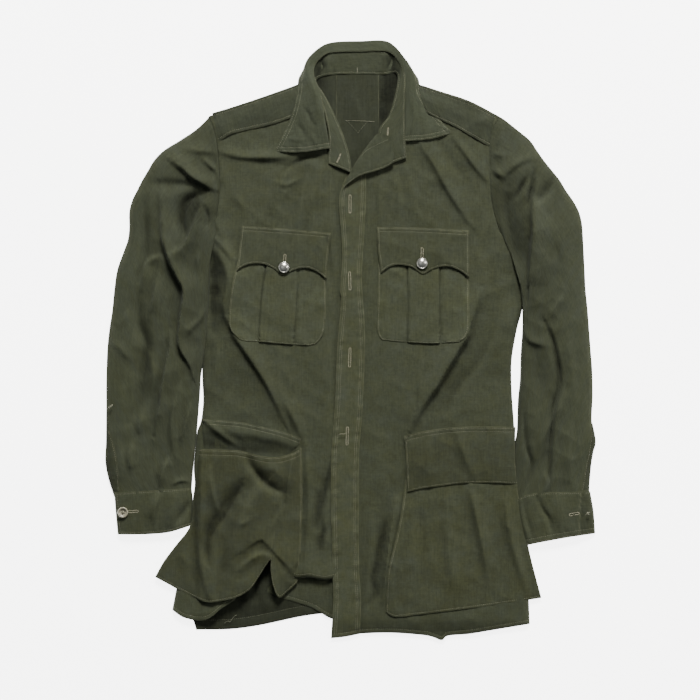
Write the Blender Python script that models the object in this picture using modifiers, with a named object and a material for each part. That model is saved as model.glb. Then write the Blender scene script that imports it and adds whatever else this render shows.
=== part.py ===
# Bush shirt, laid flat on its back with the sleeves beside it and the buttonhole front on top.
#
# Frame: metres, +Z up from the surface. +Y runs from hem to collar, +X to the picture's right,
# which is the wearer's left. The origin is on the surface, under the middle of the whole shirt.
# Right and left in the names are the wearer's. All sizes in the tables are in millimetres.

import math
from collections import namedtuple

import bmesh
import bpy
from mathutils import Vector

MM = 0.001

WALL = 1.2  # thickness of a cloth wall
GAP = 0.3  # air between two pieces at a seam
LAYER = WALL + GAP  # height that one more piece of cloth takes
PARTING_RING = 6  # the right sleeve is two solids that meet at this ring, so that collision follows its hollow
PARTING_GAP = 0.5
SEAM_SHIFT = 0.6  # a sleeve's first ring stands this far off the armhole seam
SEAM_END_SHIFT = 2.9  # and this far at the seam's two ends, where its wall turns inwards
SEAM_END_POWER = 5  # how suddenly the one becomes the other
SEAM_STEP = 0.02  # share of the seam each side of a place that gives its direction there

FRONT_LIFT = 3.0  # underside of a front where it lies over the back and its pleat
OVERLAP_LIFT = 1.5  # what the overlapping front rises to cross the other one
OVERLAP_SLOPE = (160.0, 230.0)  # it comes down again between these two places in X
SHOULDER_BAND = 14.0  # a front comes down to the shoulder seam over this width
SIDE_BAND = 5.0  # and to the surface over this width at its side seam
BACK_INSET = 4.6  # the back's side edge lies inside the front's by this much
BACK_HEM = -404.0  # where the back ends under the overlapping front, on the surface
HEM_BAND = 24.0  # the overlapping front comes down to the surface over this width past it

TUBE_RIM = 2.6  # height of a flattened tube at its two long edges
TUBE_FOOT = 2.2  # its flat underside starts this far in from them
UNDERSIDE_SHARES = (0.67, 0.33)  # where the underside has its two middle points
SLEEVE_FLATNESS = 3  # power of the crown across a tube: the higher, the flatter
CUFF_FLATNESS = 6

BINDING_SHARES = (0.25, 0.95)  # a sleeve opening's binding lies between these shares of the rim's facet
BINDING_FROM = 9  # and runs from this ring of the sleeve down to the cuff
BINDING_GAP = 0.5  # air under it, on a surface that bends

UNDER_FROM = 395.0  # past this place in Y the collar fall turns under and lies close to the surface
UNDER_BAND = 20.0
ROLL_SHARE = 0.6  # the fall has a point this far from its seam to its roll
LEAF_SHARES = (0.33, 0.67, 1.0)  # and points at these shares from its roll to its edge

METAL_BUTTON_RADIUS = 8.2
METAL_BUTTON_HEIGHT = 5.0
CUFF_BUTTON_RADIUS = 7.3
CUFF_BUTTON_HEIGHT = 2.6

Finish = namedtuple("Finish", "colour roughness metallic")
CLOTH = Finish((0.066, 0.072, 0.042), 0.85, 0.0)
BUTTON_METAL = Finish((0.55, 0.54, 0.48), 0.35, 1.0)
BUTTON_HORN = Finish((0.06, 0.06, 0.05), 0.4, 0.0)

Row = namedtuple("Row", "left_x left_y mid_x mid_y right_x right_y")
Ring = namedtuple("Ring", "outer_x outer_y inner_x inner_y bow height")
Fold = namedtuple("Fold", "from_x from_y to_x to_y width height")
Arch = namedtuple("Arch", "x half_width rise")
Mound = namedtuple("Mound", "x y half_width half_length height")
Leaf = namedtuple("Leaf", "seam_x seam_y seam_z roll_x roll_y roll_z edge_x edge_y edge_z")
Band = namedtuple("Band", "bottom_x bottom_y bottom_z top_x top_y top_z")

# Armhole seams from the shoulder down to the underarm, shared by front, back and sleeve.
ARMHOLE_RIGHT = [(-204, 325), (-197, 306), (-192, 287), (-190, 266), (-189, 245), (-188, 224),
                 (-189, 204), (-195, 183), (-206, 161)]
ARMHOLE_LEFT = [(216, 325), (206, 301), (202, 274), (202, 246), (203, 217), (207, 188),
                (218, 158), (236, 126), (257, 88)]

# The other ends of the fronts' rows: neck seam and centre edge, in the same order.
NECK_RIGHT = [(-56, 378), (-40, 350), (-22, 318), (-8, 290), (-2, 264), (6, 238), (8, 212),
              (8, 184), (8, 156)]
NECK_LEFT = [(67, 373), (67, 350), (56, 320), (41, 298), (25, 277), (9, 252), (-5, 222),
             (-8, 184), (-8, 128)]
NECK_BACK = [(-56, 379), (-30, 386), (40, 386), (67, 375)]

# Side seams below the underarm, down to the hem.
SIDE_RIGHT = [(-202, 140), (-202, 100), (-203, 58), (-206, 14), (-208, -12), (-211, -40),
              (-213, -72), (-216, -108), (-222, -165), (-228, -215), (-229, -268), (-239, -305),
              (-249, -348), (-258, -392)]
SIDE_LEFT = [(250, 58), (245, 25), (240, 1), (236, -20), (235, -48), (235, -75), (238, -125),
             (238, -180), (239, -232), (247, -285), (257, -334), (260, -378), (260.5, -402),
             (261, -413)]

# Front edges beside and under the buttonhole band, down to the hem, one for each side point.
CENTRE_RIGHT = [(8, 130), (7, 95), (6, 55), (4, 12), (3, -13), (2, -40), (1, -72), (0, -108),
                (-2, -165), (-2, -215), (0, -268), (1, -305), (2, -352), (4, -400)]
CENTRE_LEFT = [(-8, 92), (-10, 48), (-13, 0), (-14, -20), (-16, -47), (-17, -72), (-20, -128),
               (-23, -185), (-24, -240), (-23, -290), (-22, -340), (-21, -385), (-22, -404),
               (-22, -429)]

FOLDS_RIGHT = [
    Fold(-200, 40, -188, 14, 5, 2.0),
    Fold(-160, -32, -112, -86, 9, 4.5),
    Fold(-178, 205, -152, 240, 14, 3.0),
    Fold(-132, -400, -128, -352, 20, 8.0),
]
FOLDS_LEFT = [
    Fold(172, -32, 118, -90, 9, 4.5),
    Fold(216, -26, 158, -86, 9, 3.0),
    Fold(112, 275, 146, 200, 12, 3.5),
]
HEM_ARCH_RIGHT = Arch(-122, 48, 22)

SLEEVE_RIGHT = [
    Ring(-204, 325, -206, 161, -16, 4.2),
    Ring(-231, 303, -209, 155, -9, 8.5),
    Ring(-270, 276, -208, 144, -5, 11.0),
    Ring(-301, 234, -205, 122, -2, 12.0),
    Ring(-319, 188, -205, 96, 0, 12.0),
    Ring(-322, 145, -206, 65, 0, 11.0),
    Ring(-336, 100, -209, 25, 0, 10.5),
    Ring(-345, 46, -213, -14, 0, 10.0),
    Ring(-351, -10, -218, -55, 0, 9.5),
    Ring(-353, -75, -221, -96, 0, 9.5),
    Ring(-354.5, -135, -225, -141, 0, 9.0),
    Ring(-354.5, -181, -230, -184, 0, 8.5),
    Ring(-344, -220, -232.5, -213, 0, 7.5),
]
SLEEVE_LEFT = [
    Ring(216, 325, 257, 88, 36, 4.2),
    Ring(243, 306, 262, 78, 13, 8.5),
    Ring(276, 270, 260, 62, 8, 11.0),
    Ring(304, 232, 257, 42, 3, 12.0),
    Ring(327, 196, 252, 20, 0, 12.0),
    Ring(339, 145, 249, -3, 0, 11.0),
    Ring(342, 87, 247, -28, 0, 10.5),
    Ring(345, 36, 246, -55, 0, 10.0),
    Ring(349, -14, 245, -81, 0, 9.5),
    Ring(351, -80, 244, -110, 0, 9.5),
    Ring(354.5, -130, 243, -141, 0, 9.0),
    Ring(351, -181, 242, -186, 0, 8.5),
    Ring(347, -219, 242, -230, 0, 7.5),
]
CUFF_RIGHT = [
    Ring(-342, -220.6, -232, -213.4, 0, 8.0),
    Ring(-340, -251, -231, -242, 0, 8.0),
    Ring(-338, -280, -232, -268, 0, 7.0),
]
CUFF_LEFT = [
    Ring(349, -219.2, 243, -230.3, 0, 8.0),
    Ring(352, -251, 248, -263, 0, 8.0),
    Ring(354.5, -280, 256, -297, 0, 7.0),
]
SLEEVE_FOLDS_RIGHT = [
    Fold(-250, 252, -205, 220, 9, 4.0),
    Fold(-300, 235, -225, 226, 12, 3.0),
    Fold(-272, 205, -245, 75, 14, 5.0),
    Fold(-300, 55, -304, -50, 11, 4.0),
    Fold(-246, 75, -226, -50, 10, 4.0),
    Fold(-262, 0, -285, -130, 10, 4.0),
]
SLEEVE_FOLDS_LEFT = [
    Fold(222, 245, 268, 262, 9, 3.0),
    Fold(262, 195, 259, 95, 12, 5.0),
    Fold(304, 225, 272, 200, 10, 4.0),
    Fold(292, 15, 304, -55, 12, 4.0),
    Fold(300, -60, 290, -210, 11, 4.0),
    Fold(254, -116, 250, -218, 10, 3.5),
]

# Collar fall, from its right front end round the back of the neck to its left front end.
FALL = [
    Leaf(-29, 277, 10.0, -34, 277, 11.5, -110, 273, 7.4),
    Leaf(-33, 304, 13.0, -38, 305, 15.0, -97, 297, 7.6),
    Leaf(-38, 332, 15.0, -44, 333, 17.5, -85, 325, 8.0),
    Leaf(-47, 360, 15.5, -53, 361, 18.5, -77, 358, 7.8),
    Leaf(-57, 388, 12.5, -62, 389, 15.5, -74, 381, 5.2),
    Leaf(-52, 404, 8.5, -59, 409, 9.5, -61, 394, 1.6),
    Leaf(-29, 417, 8.0, -32, 429, 6.0, -30, 392, 0.9),
    Leaf(14, 418, 7.4, 14, 432.8, 5.2, 14, 392, 0.9),
    Leaf(54, 418, 8.0, 55, 433, 6.0, 50, 392, 0.9),
    Leaf(74, 404, 8.5, 79, 409, 9.5, 76, 394, 1.6),
    Leaf(83, 388, 12.5, 90, 389, 15.5, 98, 381, 5.2),
    Leaf(83, 361, 15.0, 89, 362, 18.0, 103, 356, 8.8),
    Leaf(80, 334, 14.0, 86, 335, 17.0, 120, 331, 8.8),
    Leaf(80, 309, 12.5, 85, 310, 15.0, 136, 313, 8.6),
    Leaf(80, 290, 11.0, 84, 290, 12.5, 149, 300, 7.4),
]
# Collar stand, its inner face up, from its right front end round the neck to its left one.
STAND = [
    Band(1, 246, 9.2, -31, 257, 9.0),
    Band(-3, 262, 6.0, -31, 272, 8.0),
    Band(-6, 288, 5.6, -29, 293, 9.5),
    Band(-21, 320, 5.6, -35, 322, 11.5),
    Band(-40, 353, 5.2, -44, 358, 12.0),
    Band(-54, 377, 4.8, -54, 386, 9.6),
    Band(-44, 384.5, 3.6, -48, 401, 7.2),
    Band(-22, 385.2, 2.5, -27, 413, 5.8),
    Band(14, 385.2, 2.2, 14, 414.5, 5.4),
    Band(50, 385.2, 2.5, 52, 413, 5.8),
    Band(64, 381, 3.6, 71, 401, 7.2),
    Band(68, 372, 6.8, 80, 386, 9.8),
    Band(68, 350, 7.0, 80, 360, 12.0),
    Band(57, 321, 7.4, 77, 334, 11.0),
    Band(43, 301, 8.0, 77, 309, 9.6),
    Band(50, 286, 10.6, 79, 286, 10.8),
    Band(64, 261, 10.0, 81, 266, 10.0),
]
# The buttonhole band's top end, turned back over the front with the corner of the neck.
TURNED_END = [
    Row(-7, 219, -3, 223, 2, 229),
    Row(4, 241, 11, 240, 18, 239),
    Row(16, 262, 28, 253, 38, 246),
    Row(29, 280, 41, 268, 50, 252),
    Row(40, 293, 48, 276, 60, 258),
]

BAND_EDGES = [
    Row(-6, 233, 9, 231, 24, 230),
    Row(-15, 198, 4, 199, 22, 200),
    Row(-13, 150, 4, 150, 20, 149),
    Row(-10, 116, 4, 116, 18, 115),
    Row(-14, 72, 2, 72, 18, 72),
    Row(-17, 10, 2, 11, 21, 12),
    Row(-22, -87, -1, -87, 19, -86),
    Row(-27, -140, -5, -140, 16, -140),
    Row(-28, -190, -8, -190, 13, -190),
    Row(-27, -260, -7, -260, 13, -260),
    Row(-26, -330, -5, -330, 14, -330),
    Row(-26, -370, -5, -370, 16, -370),
    Row(-27, -404, -6, -404, 16, -404),
    Row(-29, -435.2, -8, -433, 14, -428),
]

STRAP_RIGHT = [
    Row(-190, 289, -196, 305, -201, 321),
    Row(-166, 299, -172, 316, -178, 331),
    Row(-116, 312, -122, 332, -126, 349),
    Row(-78, 322, -84, 344, -88, 361),
]
STRAP_LEFT = [
    Row(212, 320, 206, 301, 199, 282),
    Row(186, 334, 179, 315, 172, 297),
    Row(140, 351, 136, 334, 132, 317),
    Row(112, 359, 110, 345, 108, 331),
]

CHEST_POCKET_RIGHT = [
    Row(-160, 150, -95, 146, -30, 142),
    Row(-166, 104, -100, 98, -35, 92),
    Row(-174, 62, -105, 56, -37, 50),
    Row(-175, 20, -105, 18, -36, 16),
    Row(-168, 5, -104, 2, -40, 0),
    Row(-156, 0, -100, -5, -48, -7),
]
CHEST_POCKET_LEFT = [
    Row(42, 148, 106, 146, 171, 144),
    Row(41, 100, 106, 96, 172, 92),
    Row(40, 60, 106, 58, 172, 56),
    Row(39, 20, 106, 20, 173, 20),
    Row(43, 4, 106, 4, 170, 5),
    Row(52, -2, 106, -3, 160, -4),
]
CHEST_FLAP_RIGHT = [
    Row(-157, 165, -92, 160, -28, 155),
    Row(-160, 134, -96, 128, -31, 122),
    Row(-164, 104, -99, 98, -35, 92),
]
CHEST_FLAP_LEFT = [
    Row(39, 164, 106, 162, 173, 160),
    Row(42, 132, 107, 130, 173, 126),
    Row(45, 101, 108, 98, 173, 93),
]
FLAP_SCALLOP = 11.0  # the flap's lower edge rises this much between its corners and its point

LOWER_POCKET_RIGHT = [
    Row(-217, -159, -150, -163, -87, -165),
    Row(-220, -192, -152, -194, -85, -197),
    Row(-227, -232, -155, -232, -85, -232),
    Row(-236, -270, -160, -272, -86, -275),
    Row(-262, -307, -170, -318, -87, -315),
    Row(-284, -342, -190, -392, -84, -360),
]
POCKET_ARCH = Arch(-112, 26, 46)
POCKET_CLEARANCE = 0.6  # more air between the tucked flap and the pocket over it
POCKET_MOUNDS = [Mound(-152, -205, 48, 72, 9.0), Mound(-112, -345, 30, 35, 9.0)]
POCKET_DROOP = 5.0  # its corner outside the side seam comes down by this much
DROOP_FROM = -238.0
DROOP_BAND = 30.0
LOWER_FLAP_RIGHT = [
    Row(-215, -115, -150, -118, -74, -141),
    Row(-216, -150, -148, -155, -86, -158),
    Row(-208, -205, -148, -207, -92, -208),
]
GUSSET_RIGHT = [
    Row(-82, -163, -77, -162, -72, -161),
    Row(-82, -232, -77, -232, -72, -232),
    Row(-82, -315, -78, -315, -74, -315),
    Row(-79, -358, -77, -357, -75, -356),
]
LOWER_POCKET_LEFT = [
    Row(78, -150, 158, -140, 236, -140),
    Row(79, -215, 158, -208, 236, -206),
    Row(73, -262, 155, -255, 239, -245),
    Row(62, -312, 155, -308, 254, -302),
    Row(54, -350, 158, -348, 266, -342),
    Row(52, -397, 158, -402, 277, -374),
]
LOWER_FLAP_LEFT = [
    Row(79, -139, 158, -122, 237, -126),
    Row(80, -175, 158, -166, 237, -168),
    Row(82, -220, 158, -204, 237, -209),
]

PLEAT_STRIP = [
    Row(-20, 384.6, 11, 384.6, 42, 384.6),
    Row(-19, 330, 11, 330, 42, 330),
    Row(-19, 280, 11, 280, 42, 280),
    Row(-18, 230, 11, 230, 40, 230),
]

Button = namedtuple("Button", "name x y seat radius height")
METAL_BUTTONS = [
    Button("chest_button_right", -96, 107, FRONT_LIFT + 3 * LAYER, METAL_BUTTON_RADIUS,
           METAL_BUTTON_HEIGHT),
    Button("chest_button_left", 104, 112, FRONT_LIFT + OVERLAP_LIFT + 3 * LAYER, METAL_BUTTON_RADIUS,
           METAL_BUTTON_HEIGHT),
]
CUFF_BUTTON = Button("cuff_button_right", -329, -249, 7.9, CUFF_BUTTON_RADIUS, CUFF_BUTTON_HEIGHT)

BUTTON_SIDES = 20


def remove_scene_objects():
    for item in list(bpy.data.objects):
        bpy.data.objects.remove(item, do_unlink=True)


def make_material(name, finish):
    material = bpy.data.materials.new(name)
    material.use_nodes = True
    shader = material.node_tree.nodes["Principled BSDF"]
    shader.inputs["Base Color"].default_value = (*finish.colour, 1.0)
    shader.inputs["Roughness"].default_value = finish.roughness
    shader.inputs["Metallic"].default_value = finish.metallic
    return material


def add_object(name, bm, collection, finish):
    mesh = bpy.data.meshes.new(name)
    bm.to_mesh(mesh)
    bm.free()
    mesh.materials.append(make_material(name, finish))
    mesh.shade_smooth()
    mesh.set_sharp_from_angle(angle=math.radians(40))
    item = bpy.data.objects.new(name, mesh)
    collection.objects.link(item)
    return item


def mix(a, b, share):
    return tuple(p + (q - p) * share for p, q in zip(a, b))


def ease(share):
    share = min(max(share, 0.0), 1.0)
    return share * share * (3 - 2 * share)


def along(points, share):
    """The place at a share of the way through a list of points, counted by point."""
    place = share * (len(points) - 1)
    first = min(int(place), len(points) - 2)
    return mix(points[first], points[first + 1], place - first)


def smooth_rows(rows, steps):
    """Adds rows between rows of points, on Catmull-Rom curves down the columns."""
    result = []
    for i in range(len(rows) - 1):
        before, start, end = rows[max(i - 1, 0)], rows[i], rows[i + 1]
        after = rows[min(i + 2, len(rows) - 1)]
        for step in range(steps):
            t = step / steps
            result.append([tuple(0.5 * (2 * b + (c - a) * t + (2 * a - 5 * b + 4 * c - d) * t * t
                                        + (3 * b - a - 3 * c + d) * t ** 3)
                                 for a, b, c, d in zip(*column))
                           for column in zip(before, start, end, after)])
    return result + [rows[-1]]


def row_points(row, columns):
    """Even points on the curve through a row's left, middle and right points."""
    points = []
    for i in range(columns + 1):
        u = i / columns
        left, mid, right = 2 * (u - 0.5) * (u - 1), 4 * u * (1 - u), 2 * u * (u - 0.5)
        points.append((left * row.left_x + mid * row.mid_x + right * row.right_x,
                       left * row.left_y + mid * row.mid_y + right * row.right_y))
    return points


def fold_height(x, y, folds):
    height = 0.0
    for fold in folds:
        run = Vector((fold.to_x - fold.from_x, fold.to_y - fold.from_y))
        place = Vector((x - fold.from_x, y - fold.from_y))
        share = min(max(place.dot(run) / run.length_squared, 0.0), 1.0)
        away = (place - run * share).length / fold.width
        height += fold.height * math.exp(-away * away)
    return height


def arch_rise(x, arch):
    return arch.rise * math.exp(-((x - arch.x) / arch.half_width) ** 2)


def shoulder_drop(x, y):
    """What a front comes down by, near the seam that joins it to the back."""
    armhole, neck = (ARMHOLE_RIGHT, NECK_RIGHT) if x < 0 else (ARMHOLE_LEFT, NECK_LEFT)
    start, end = Vector(armhole[0]), Vector(neck[0])
    run = (end - start).normalized()
    away = abs(run.cross(Vector((x, y)) - start))
    return (FRONT_LIFT - LAYER) * (1 - ease(away / SHOULDER_BAND))


def right_height(x, y):
    return FRONT_LIFT + fold_height(x, y, FOLDS_RIGHT) - shoulder_drop(x, y)


def left_height(x, y):
    low, high = OVERLAP_SLOPE
    over = OVERLAP_LIFT * (1 - ease((x - low) / (high - low)))
    lift = FRONT_LIFT + over + fold_height(x, y, FOLDS_LEFT) - shoulder_drop(x, y)
    return lift * (1 - min(max((BACK_HEM - GAP - y) / HEM_BAND, 0.0), 1.0))


def thicken(bm):
    """Makes a closed wall of an open sheet, its upper side straight above its underside."""
    result = bmesh.ops.extrude_face_region(bm, geom=bm.faces[:])
    raised = [item for item in result["geom"] if isinstance(item, bmesh.types.BMVert)]
    bmesh.ops.translate(bm, vec=(0, 0, WALL * MM), verts=raised)
    bmesh.ops.recalc_face_normals(bm, faces=bm.faces[:])


def loft(rows, closed=False):
    """A skin over rows of points in millimetres, open or closed round each row."""
    bm = bmesh.new()
    grid = [[bm.verts.new(Vector(point) * MM) for point in row] for row in rows]
    for lower, upper in zip(grid, grid[1:]):
        pairs = list(zip(lower, upper))
        following = pairs[1:] + pairs[:1] if closed else pairs[1:]
        for (a, b), (d, c) in zip(pairs, following):
            bm.faces.new((a, d, c, b))
    return bm


def panel(name, rows, collection):
    bm = loft(rows)
    thicken(bm)
    return add_object(name, bm, collection, CLOTH)


def laid_piece(name, table, height, columns, steps, collection):
    """A piece that lies on a panel: its rows at the panel's height plus its own layers."""
    rows = smooth_rows([row_points(row, columns) for row in table], steps)
    return panel(name, [[(x, y, height(x, y)) for x, y in row] for row in rows], collection)


def front_rows(armhole, neck, side, centre, height, columns, hem_arch=None):
    """Rows from the shoulder to the hem. Below the underarm the side edge turns down to the surface."""
    rows = []
    ends = list(zip(armhole + side, neck + centre))
    for number, (outer, inner) in enumerate(ends):
        width = (Vector(inner) - Vector(outer)).length
        shares = [0.0, SIDE_BAND / width] + [i / columns for i in range(1, columns + 1)]
        last = number == len(ends) - 1
        row = []
        for share in shares:
            x, y = mix(outer, inner, share)
            if last and hem_arch:
                y += arch_rise(x, hem_arch)
            turned = ease(share * width / SIDE_BAND) if number >= len(armhole) else 1.0
            row.append((x, y, height(x, y) * turned))
        rows.append(row)
    return rows


def build_fronts(collection):
    right = front_rows(ARMHOLE_RIGHT, NECK_RIGHT, SIDE_RIGHT, CENTRE_RIGHT, right_height, 13,
                       HEM_ARCH_RIGHT)
    left = front_rows(ARMHOLE_LEFT, NECK_LEFT, SIDE_LEFT, CENTRE_LEFT, left_height, 13)
    panel("front_right", right, collection)
    panel("front_left", left, collection)


def build_back(collection):
    """The back lies on the surface, inside the fronts' side edges."""
    rows = [[ARMHOLE_RIGHT[0]] + NECK_BACK + [ARMHOLE_LEFT[0]]]
    columns = len(rows[0]) - 1
    ends = list(zip(ARMHOLE_RIGHT[1:], ARMHOLE_LEFT[1:]))
    sides = list(zip(SIDE_RIGHT, SIDE_LEFT))
    for outer, other in ends[:-1]:
        rows.append([mix(outer, other, i / columns) for i in range(columns + 1)])
    for (right_x, right_y), (left_x, left_y) in ends[-1:] + sides:
        right, left = (right_x + BACK_INSET, right_y), (left_x - BACK_INSET, max(left_y, BACK_HEM))
        rows.append([mix(right, left, i / columns) for i in range(columns + 1)])
    rows.append(row_points(Row(-222, -422, -40, -405, 250, BACK_HEM - 0.1), columns))
    panel("back", [[(x, y, 0.0) for x, y in row] for row in rows], collection)
    laid_piece("back_pleat", PLEAT_STRIP, lambda x, y: LAYER, 2, 1, collection)


def bowed_place(ring, u):
    """A place on the line across a tube, bowed aside as the armhole is."""
    run = Vector((ring.inner_x - ring.outer_x, ring.inner_y - ring.outer_y))
    aside = Vector((run.y, -run.x)).normalized() * ring.bow * 4 * u * (1 - u)
    return ring.outer_x + run.x * u + aside.x, ring.outer_y + run.y * u + aside.y


def ring_points(ring, seam, folds, flatness):
    """One closed ring of a flattened tube: a rounded top, two rims and a flat underside."""
    run = Vector((ring.inner_x - ring.outer_x, ring.inner_y - ring.outer_y))

    def place(u):
        if not seam:
            return bowed_place(ring, u)
        before, after = along(seam, max(u - SEAM_STEP, 0.0)), along(seam, min(u + SEAM_STEP, 1.0))
        tangent = (Vector(after) - Vector(before)).normalized()
        outwards = Vector((-tangent.y, tangent.x)) * math.copysign(1.0, ring.outer_x)
        near_end = u ** SEAM_END_POWER + (1 - u) ** SEAM_END_POWER
        shift = SEAM_SHIFT + (SEAM_END_SHIFT - SEAM_SHIFT) * near_end
        return tuple(Vector(along(seam, u)) + outwards * shift)

    columns = len(ARMHOLE_RIGHT) - 1
    foot = TUBE_FOOT / run.length
    points = []
    for i in range(columns + 1):
        u = i / columns
        x, y = place(u)
        crown = 1 - abs(2 * u - 1) ** flatness
        crease = fold_height(x, y, folds) * crown
        points.append((x, y, TUBE_RIM + (ring.height - TUBE_RIM) * crown + crease))
    for u in (1 - foot, *UNDERSIDE_SHARES, foot):
        points.append((*place(u), 0.0))
    return points


def tube(name, rings, folds, flatness, collection, armhole=None):
    rows = [ring_points(rings[0], armhole, folds, flatness)]
    rows += [ring_points(ring, None, folds, flatness) for ring in rings[1:]]
    bm = loft(rows, closed=True)
    if rings[0].outer_x < 0:
        bmesh.ops.reverse_faces(bm, faces=bm.faces[:])
    item = add_object(name, bm, collection, CLOTH)
    wall = item.modifiers.new("Wall", "SOLIDIFY")
    wall.thickness = WALL * MM
    wall.offset = -1.0
    return item


def tube_strip(name, rings, folds, collection):
    """The binding of a sleeve's opening: a strip that lies on the sleeve along its outer rim."""
    rows = []
    for ring in rings:
        rim, inside = ring_points(ring, None, folds, SLEEVE_FLATNESS)[:2]
        edges = [mix(rim, inside, share) for share in BINDING_SHARES]
        rows.append([(x, y, z + BINDING_GAP) for x, y, z in edges])
    panel(name, rows, collection)


def build_sleeves(collection):
    upper, lower = SLEEVE_RIGHT[:PARTING_RING + 1], SLEEVE_RIGHT[PARTING_RING:]
    meeting = lower[0]
    lower[0] = meeting._replace(outer_y=meeting.outer_y - PARTING_GAP, inner_y=meeting.inner_y - PARTING_GAP)
    tube("sleeve_right_upper", upper, SLEEVE_FOLDS_RIGHT, SLEEVE_FLATNESS, collection, ARMHOLE_RIGHT)
    tube("sleeve_right", lower, SLEEVE_FOLDS_RIGHT, SLEEVE_FLATNESS, collection)
    tube("sleeve_left", SLEEVE_LEFT, SLEEVE_FOLDS_LEFT, SLEEVE_FLATNESS, collection, ARMHOLE_LEFT)
    tube_strip("sleeve_binding_right", SLEEVE_RIGHT[BINDING_FROM:], SLEEVE_FOLDS_RIGHT, collection)
    tube_strip("sleeve_binding_left", SLEEVE_LEFT[BINDING_FROM:], SLEEVE_FOLDS_LEFT, collection)
    tube("cuff_right", CUFF_RIGHT, [], CUFF_FLATNESS, collection)
    tube("cuff_left", CUFF_LEFT, [], CUFF_FLATNESS, collection)


def curved_wall(name, rows, steps, collection):
    item = add_object(name, loft(smooth_rows(rows, steps)), collection, CLOTH)
    wall = item.modifiers.new("Wall", "SOLIDIFY")
    wall.thickness = WALL * MM
    wall.offset = 0.0
    return item


def build_collar(collection):
    fall = []
    for leaf in FALL:
        seam = (leaf.seam_x, leaf.seam_y, leaf.seam_z)
        roll = (leaf.roll_x, leaf.roll_y, leaf.roll_z)
        edge = (leaf.edge_x, leaf.edge_y, leaf.edge_z)
        under = ease((leaf.roll_y - UNDER_FROM) / UNDER_BAND)
        row = [seam, mix(seam, roll, ROLL_SHARE), roll]
        for share in LEAF_SHARES:
            x, y, z = mix(roll, edge, share)
            row.append((x, y, z - under * (roll[2] - edge[2]) * share * (1 - share)))
        fall.append(row)
    curved_wall("collar_fall", fall, 2, collection)
    stand = []
    for band in STAND:
        bottom = (band.bottom_x, band.bottom_y, band.bottom_z)
        top = (band.top_x, band.top_y, band.top_z)
        stand.append([bottom, mix(bottom, top, 0.5), top])
    curved_wall("collar_stand", stand, 2, collection)


def scalloped(table, columns, steps):
    """A flap's rows, its lower edge curved up twice between its corners and its point."""
    rows = smooth_rows([row_points(row, columns) for row in table], steps)
    last = rows[-1]
    rows[-1] = [(x, y + FLAP_SCALLOP * math.sin(2 * math.pi * i / columns) ** 2)
                for i, (x, y) in enumerate(last)]
    return rows


def build_chest_pockets(collection):
    for side, pocket, flap, height in (
        ("right", CHEST_POCKET_RIGHT, CHEST_FLAP_RIGHT, right_height),
        ("left", CHEST_POCKET_LEFT, CHEST_FLAP_LEFT, left_height),
    ):
        laid_piece("chest_pocket_" + side, pocket, lambda x, y: height(x, y) + LAYER, 8, 2, collection)
        rows = [[(x, y, height(x, y) + 2 * LAYER) for x, y in row] for row in scalloped(flap, 16, 2)]
        panel("chest_flap_" + side, rows, collection)


def build_straps(collection):
    for side, strap, height in (("right", STRAP_RIGHT, right_height), ("left", STRAP_LEFT, left_height)):
        laid_piece("shoulder_strap_" + side, strap, lambda x, y: height(x, y) + LAYER, 4, 2, collection)


def gaping_height(x, y):
    """The right lower pocket gapes at its mouth, arches at its foot and droops past the side seam."""
    height = right_height(x, y) + 2 * LAYER + POCKET_CLEARANCE
    for mound in POCKET_MOUNDS:
        height += mound.height * math.exp(-((x - mound.x) / mound.half_width) ** 2
                                          - ((y - mound.y) / mound.half_length) ** 2)
    return height - POCKET_DROOP * ease((DROOP_FROM - x) / DROOP_BAND)


def build_lower_pockets(collection):
    rows = smooth_rows([row_points(row, 14) for row in LOWER_POCKET_RIGHT], 2)
    rows[-1] = [(x, y + arch_rise(x, POCKET_ARCH)) for x, y in rows[-1]]
    rows = [[(x, y, gaping_height(x, y)) for x, y in row] for row in rows]
    panel("lower_pocket_right", rows, collection)

    def tucked(x, y):
        return right_height(x, y) + LAYER

    laid_piece("lower_flap_right", LOWER_FLAP_RIGHT, tucked, 6, 2, collection)
    laid_piece("lower_pocket_gusset", GUSSET_RIGHT, tucked, 2, 2, collection)

    def on_left(x, y):
        return left_height(x, y) + LAYER

    def on_left_pocket(x, y):
        return on_left(x, y) + LAYER

    laid_piece("lower_pocket_left", LOWER_POCKET_LEFT, on_left, 8, 2, collection)
    laid_piece("lower_flap_left", LOWER_FLAP_LEFT, on_left_pocket, 8, 2, collection)


def build_band(collection):
    def on_front(x, y):
        return left_height(min(x, OVERLAP_SLOPE[0]), y) + LAYER

    laid_piece("buttonhole_band", BAND_EDGES, on_front, 4, 2, collection)

    def turned(x, y):
        return left_height(min(x, OVERLAP_SLOPE[0]), y) + 2 * LAYER

    laid_piece("band_turned_end", TURNED_END, turned, 4, 2, collection)


def turned_button(button, profile, collection, finish):
    """A button turned about its own axis from a profile of (share of radius, share of height)."""
    bm = bmesh.new()
    points = [bm.verts.new((r * button.radius * MM, 0, h * button.height * MM)) for r, h in profile]
    for a, b in zip(points, points[1:]):
        bm.edges.new((a, b))
    item = add_object(button.name, bm, collection, finish)
    item.location = (button.x * MM, button.y * MM, button.seat * MM)
    screw = item.modifiers.new("Turn", "SCREW")
    screw.steps = BUTTON_SIDES
    screw.render_steps = BUTTON_SIDES
    screw.use_merge_vertices = True
    screw.merge_threshold = 0.00001
    return item


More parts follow.
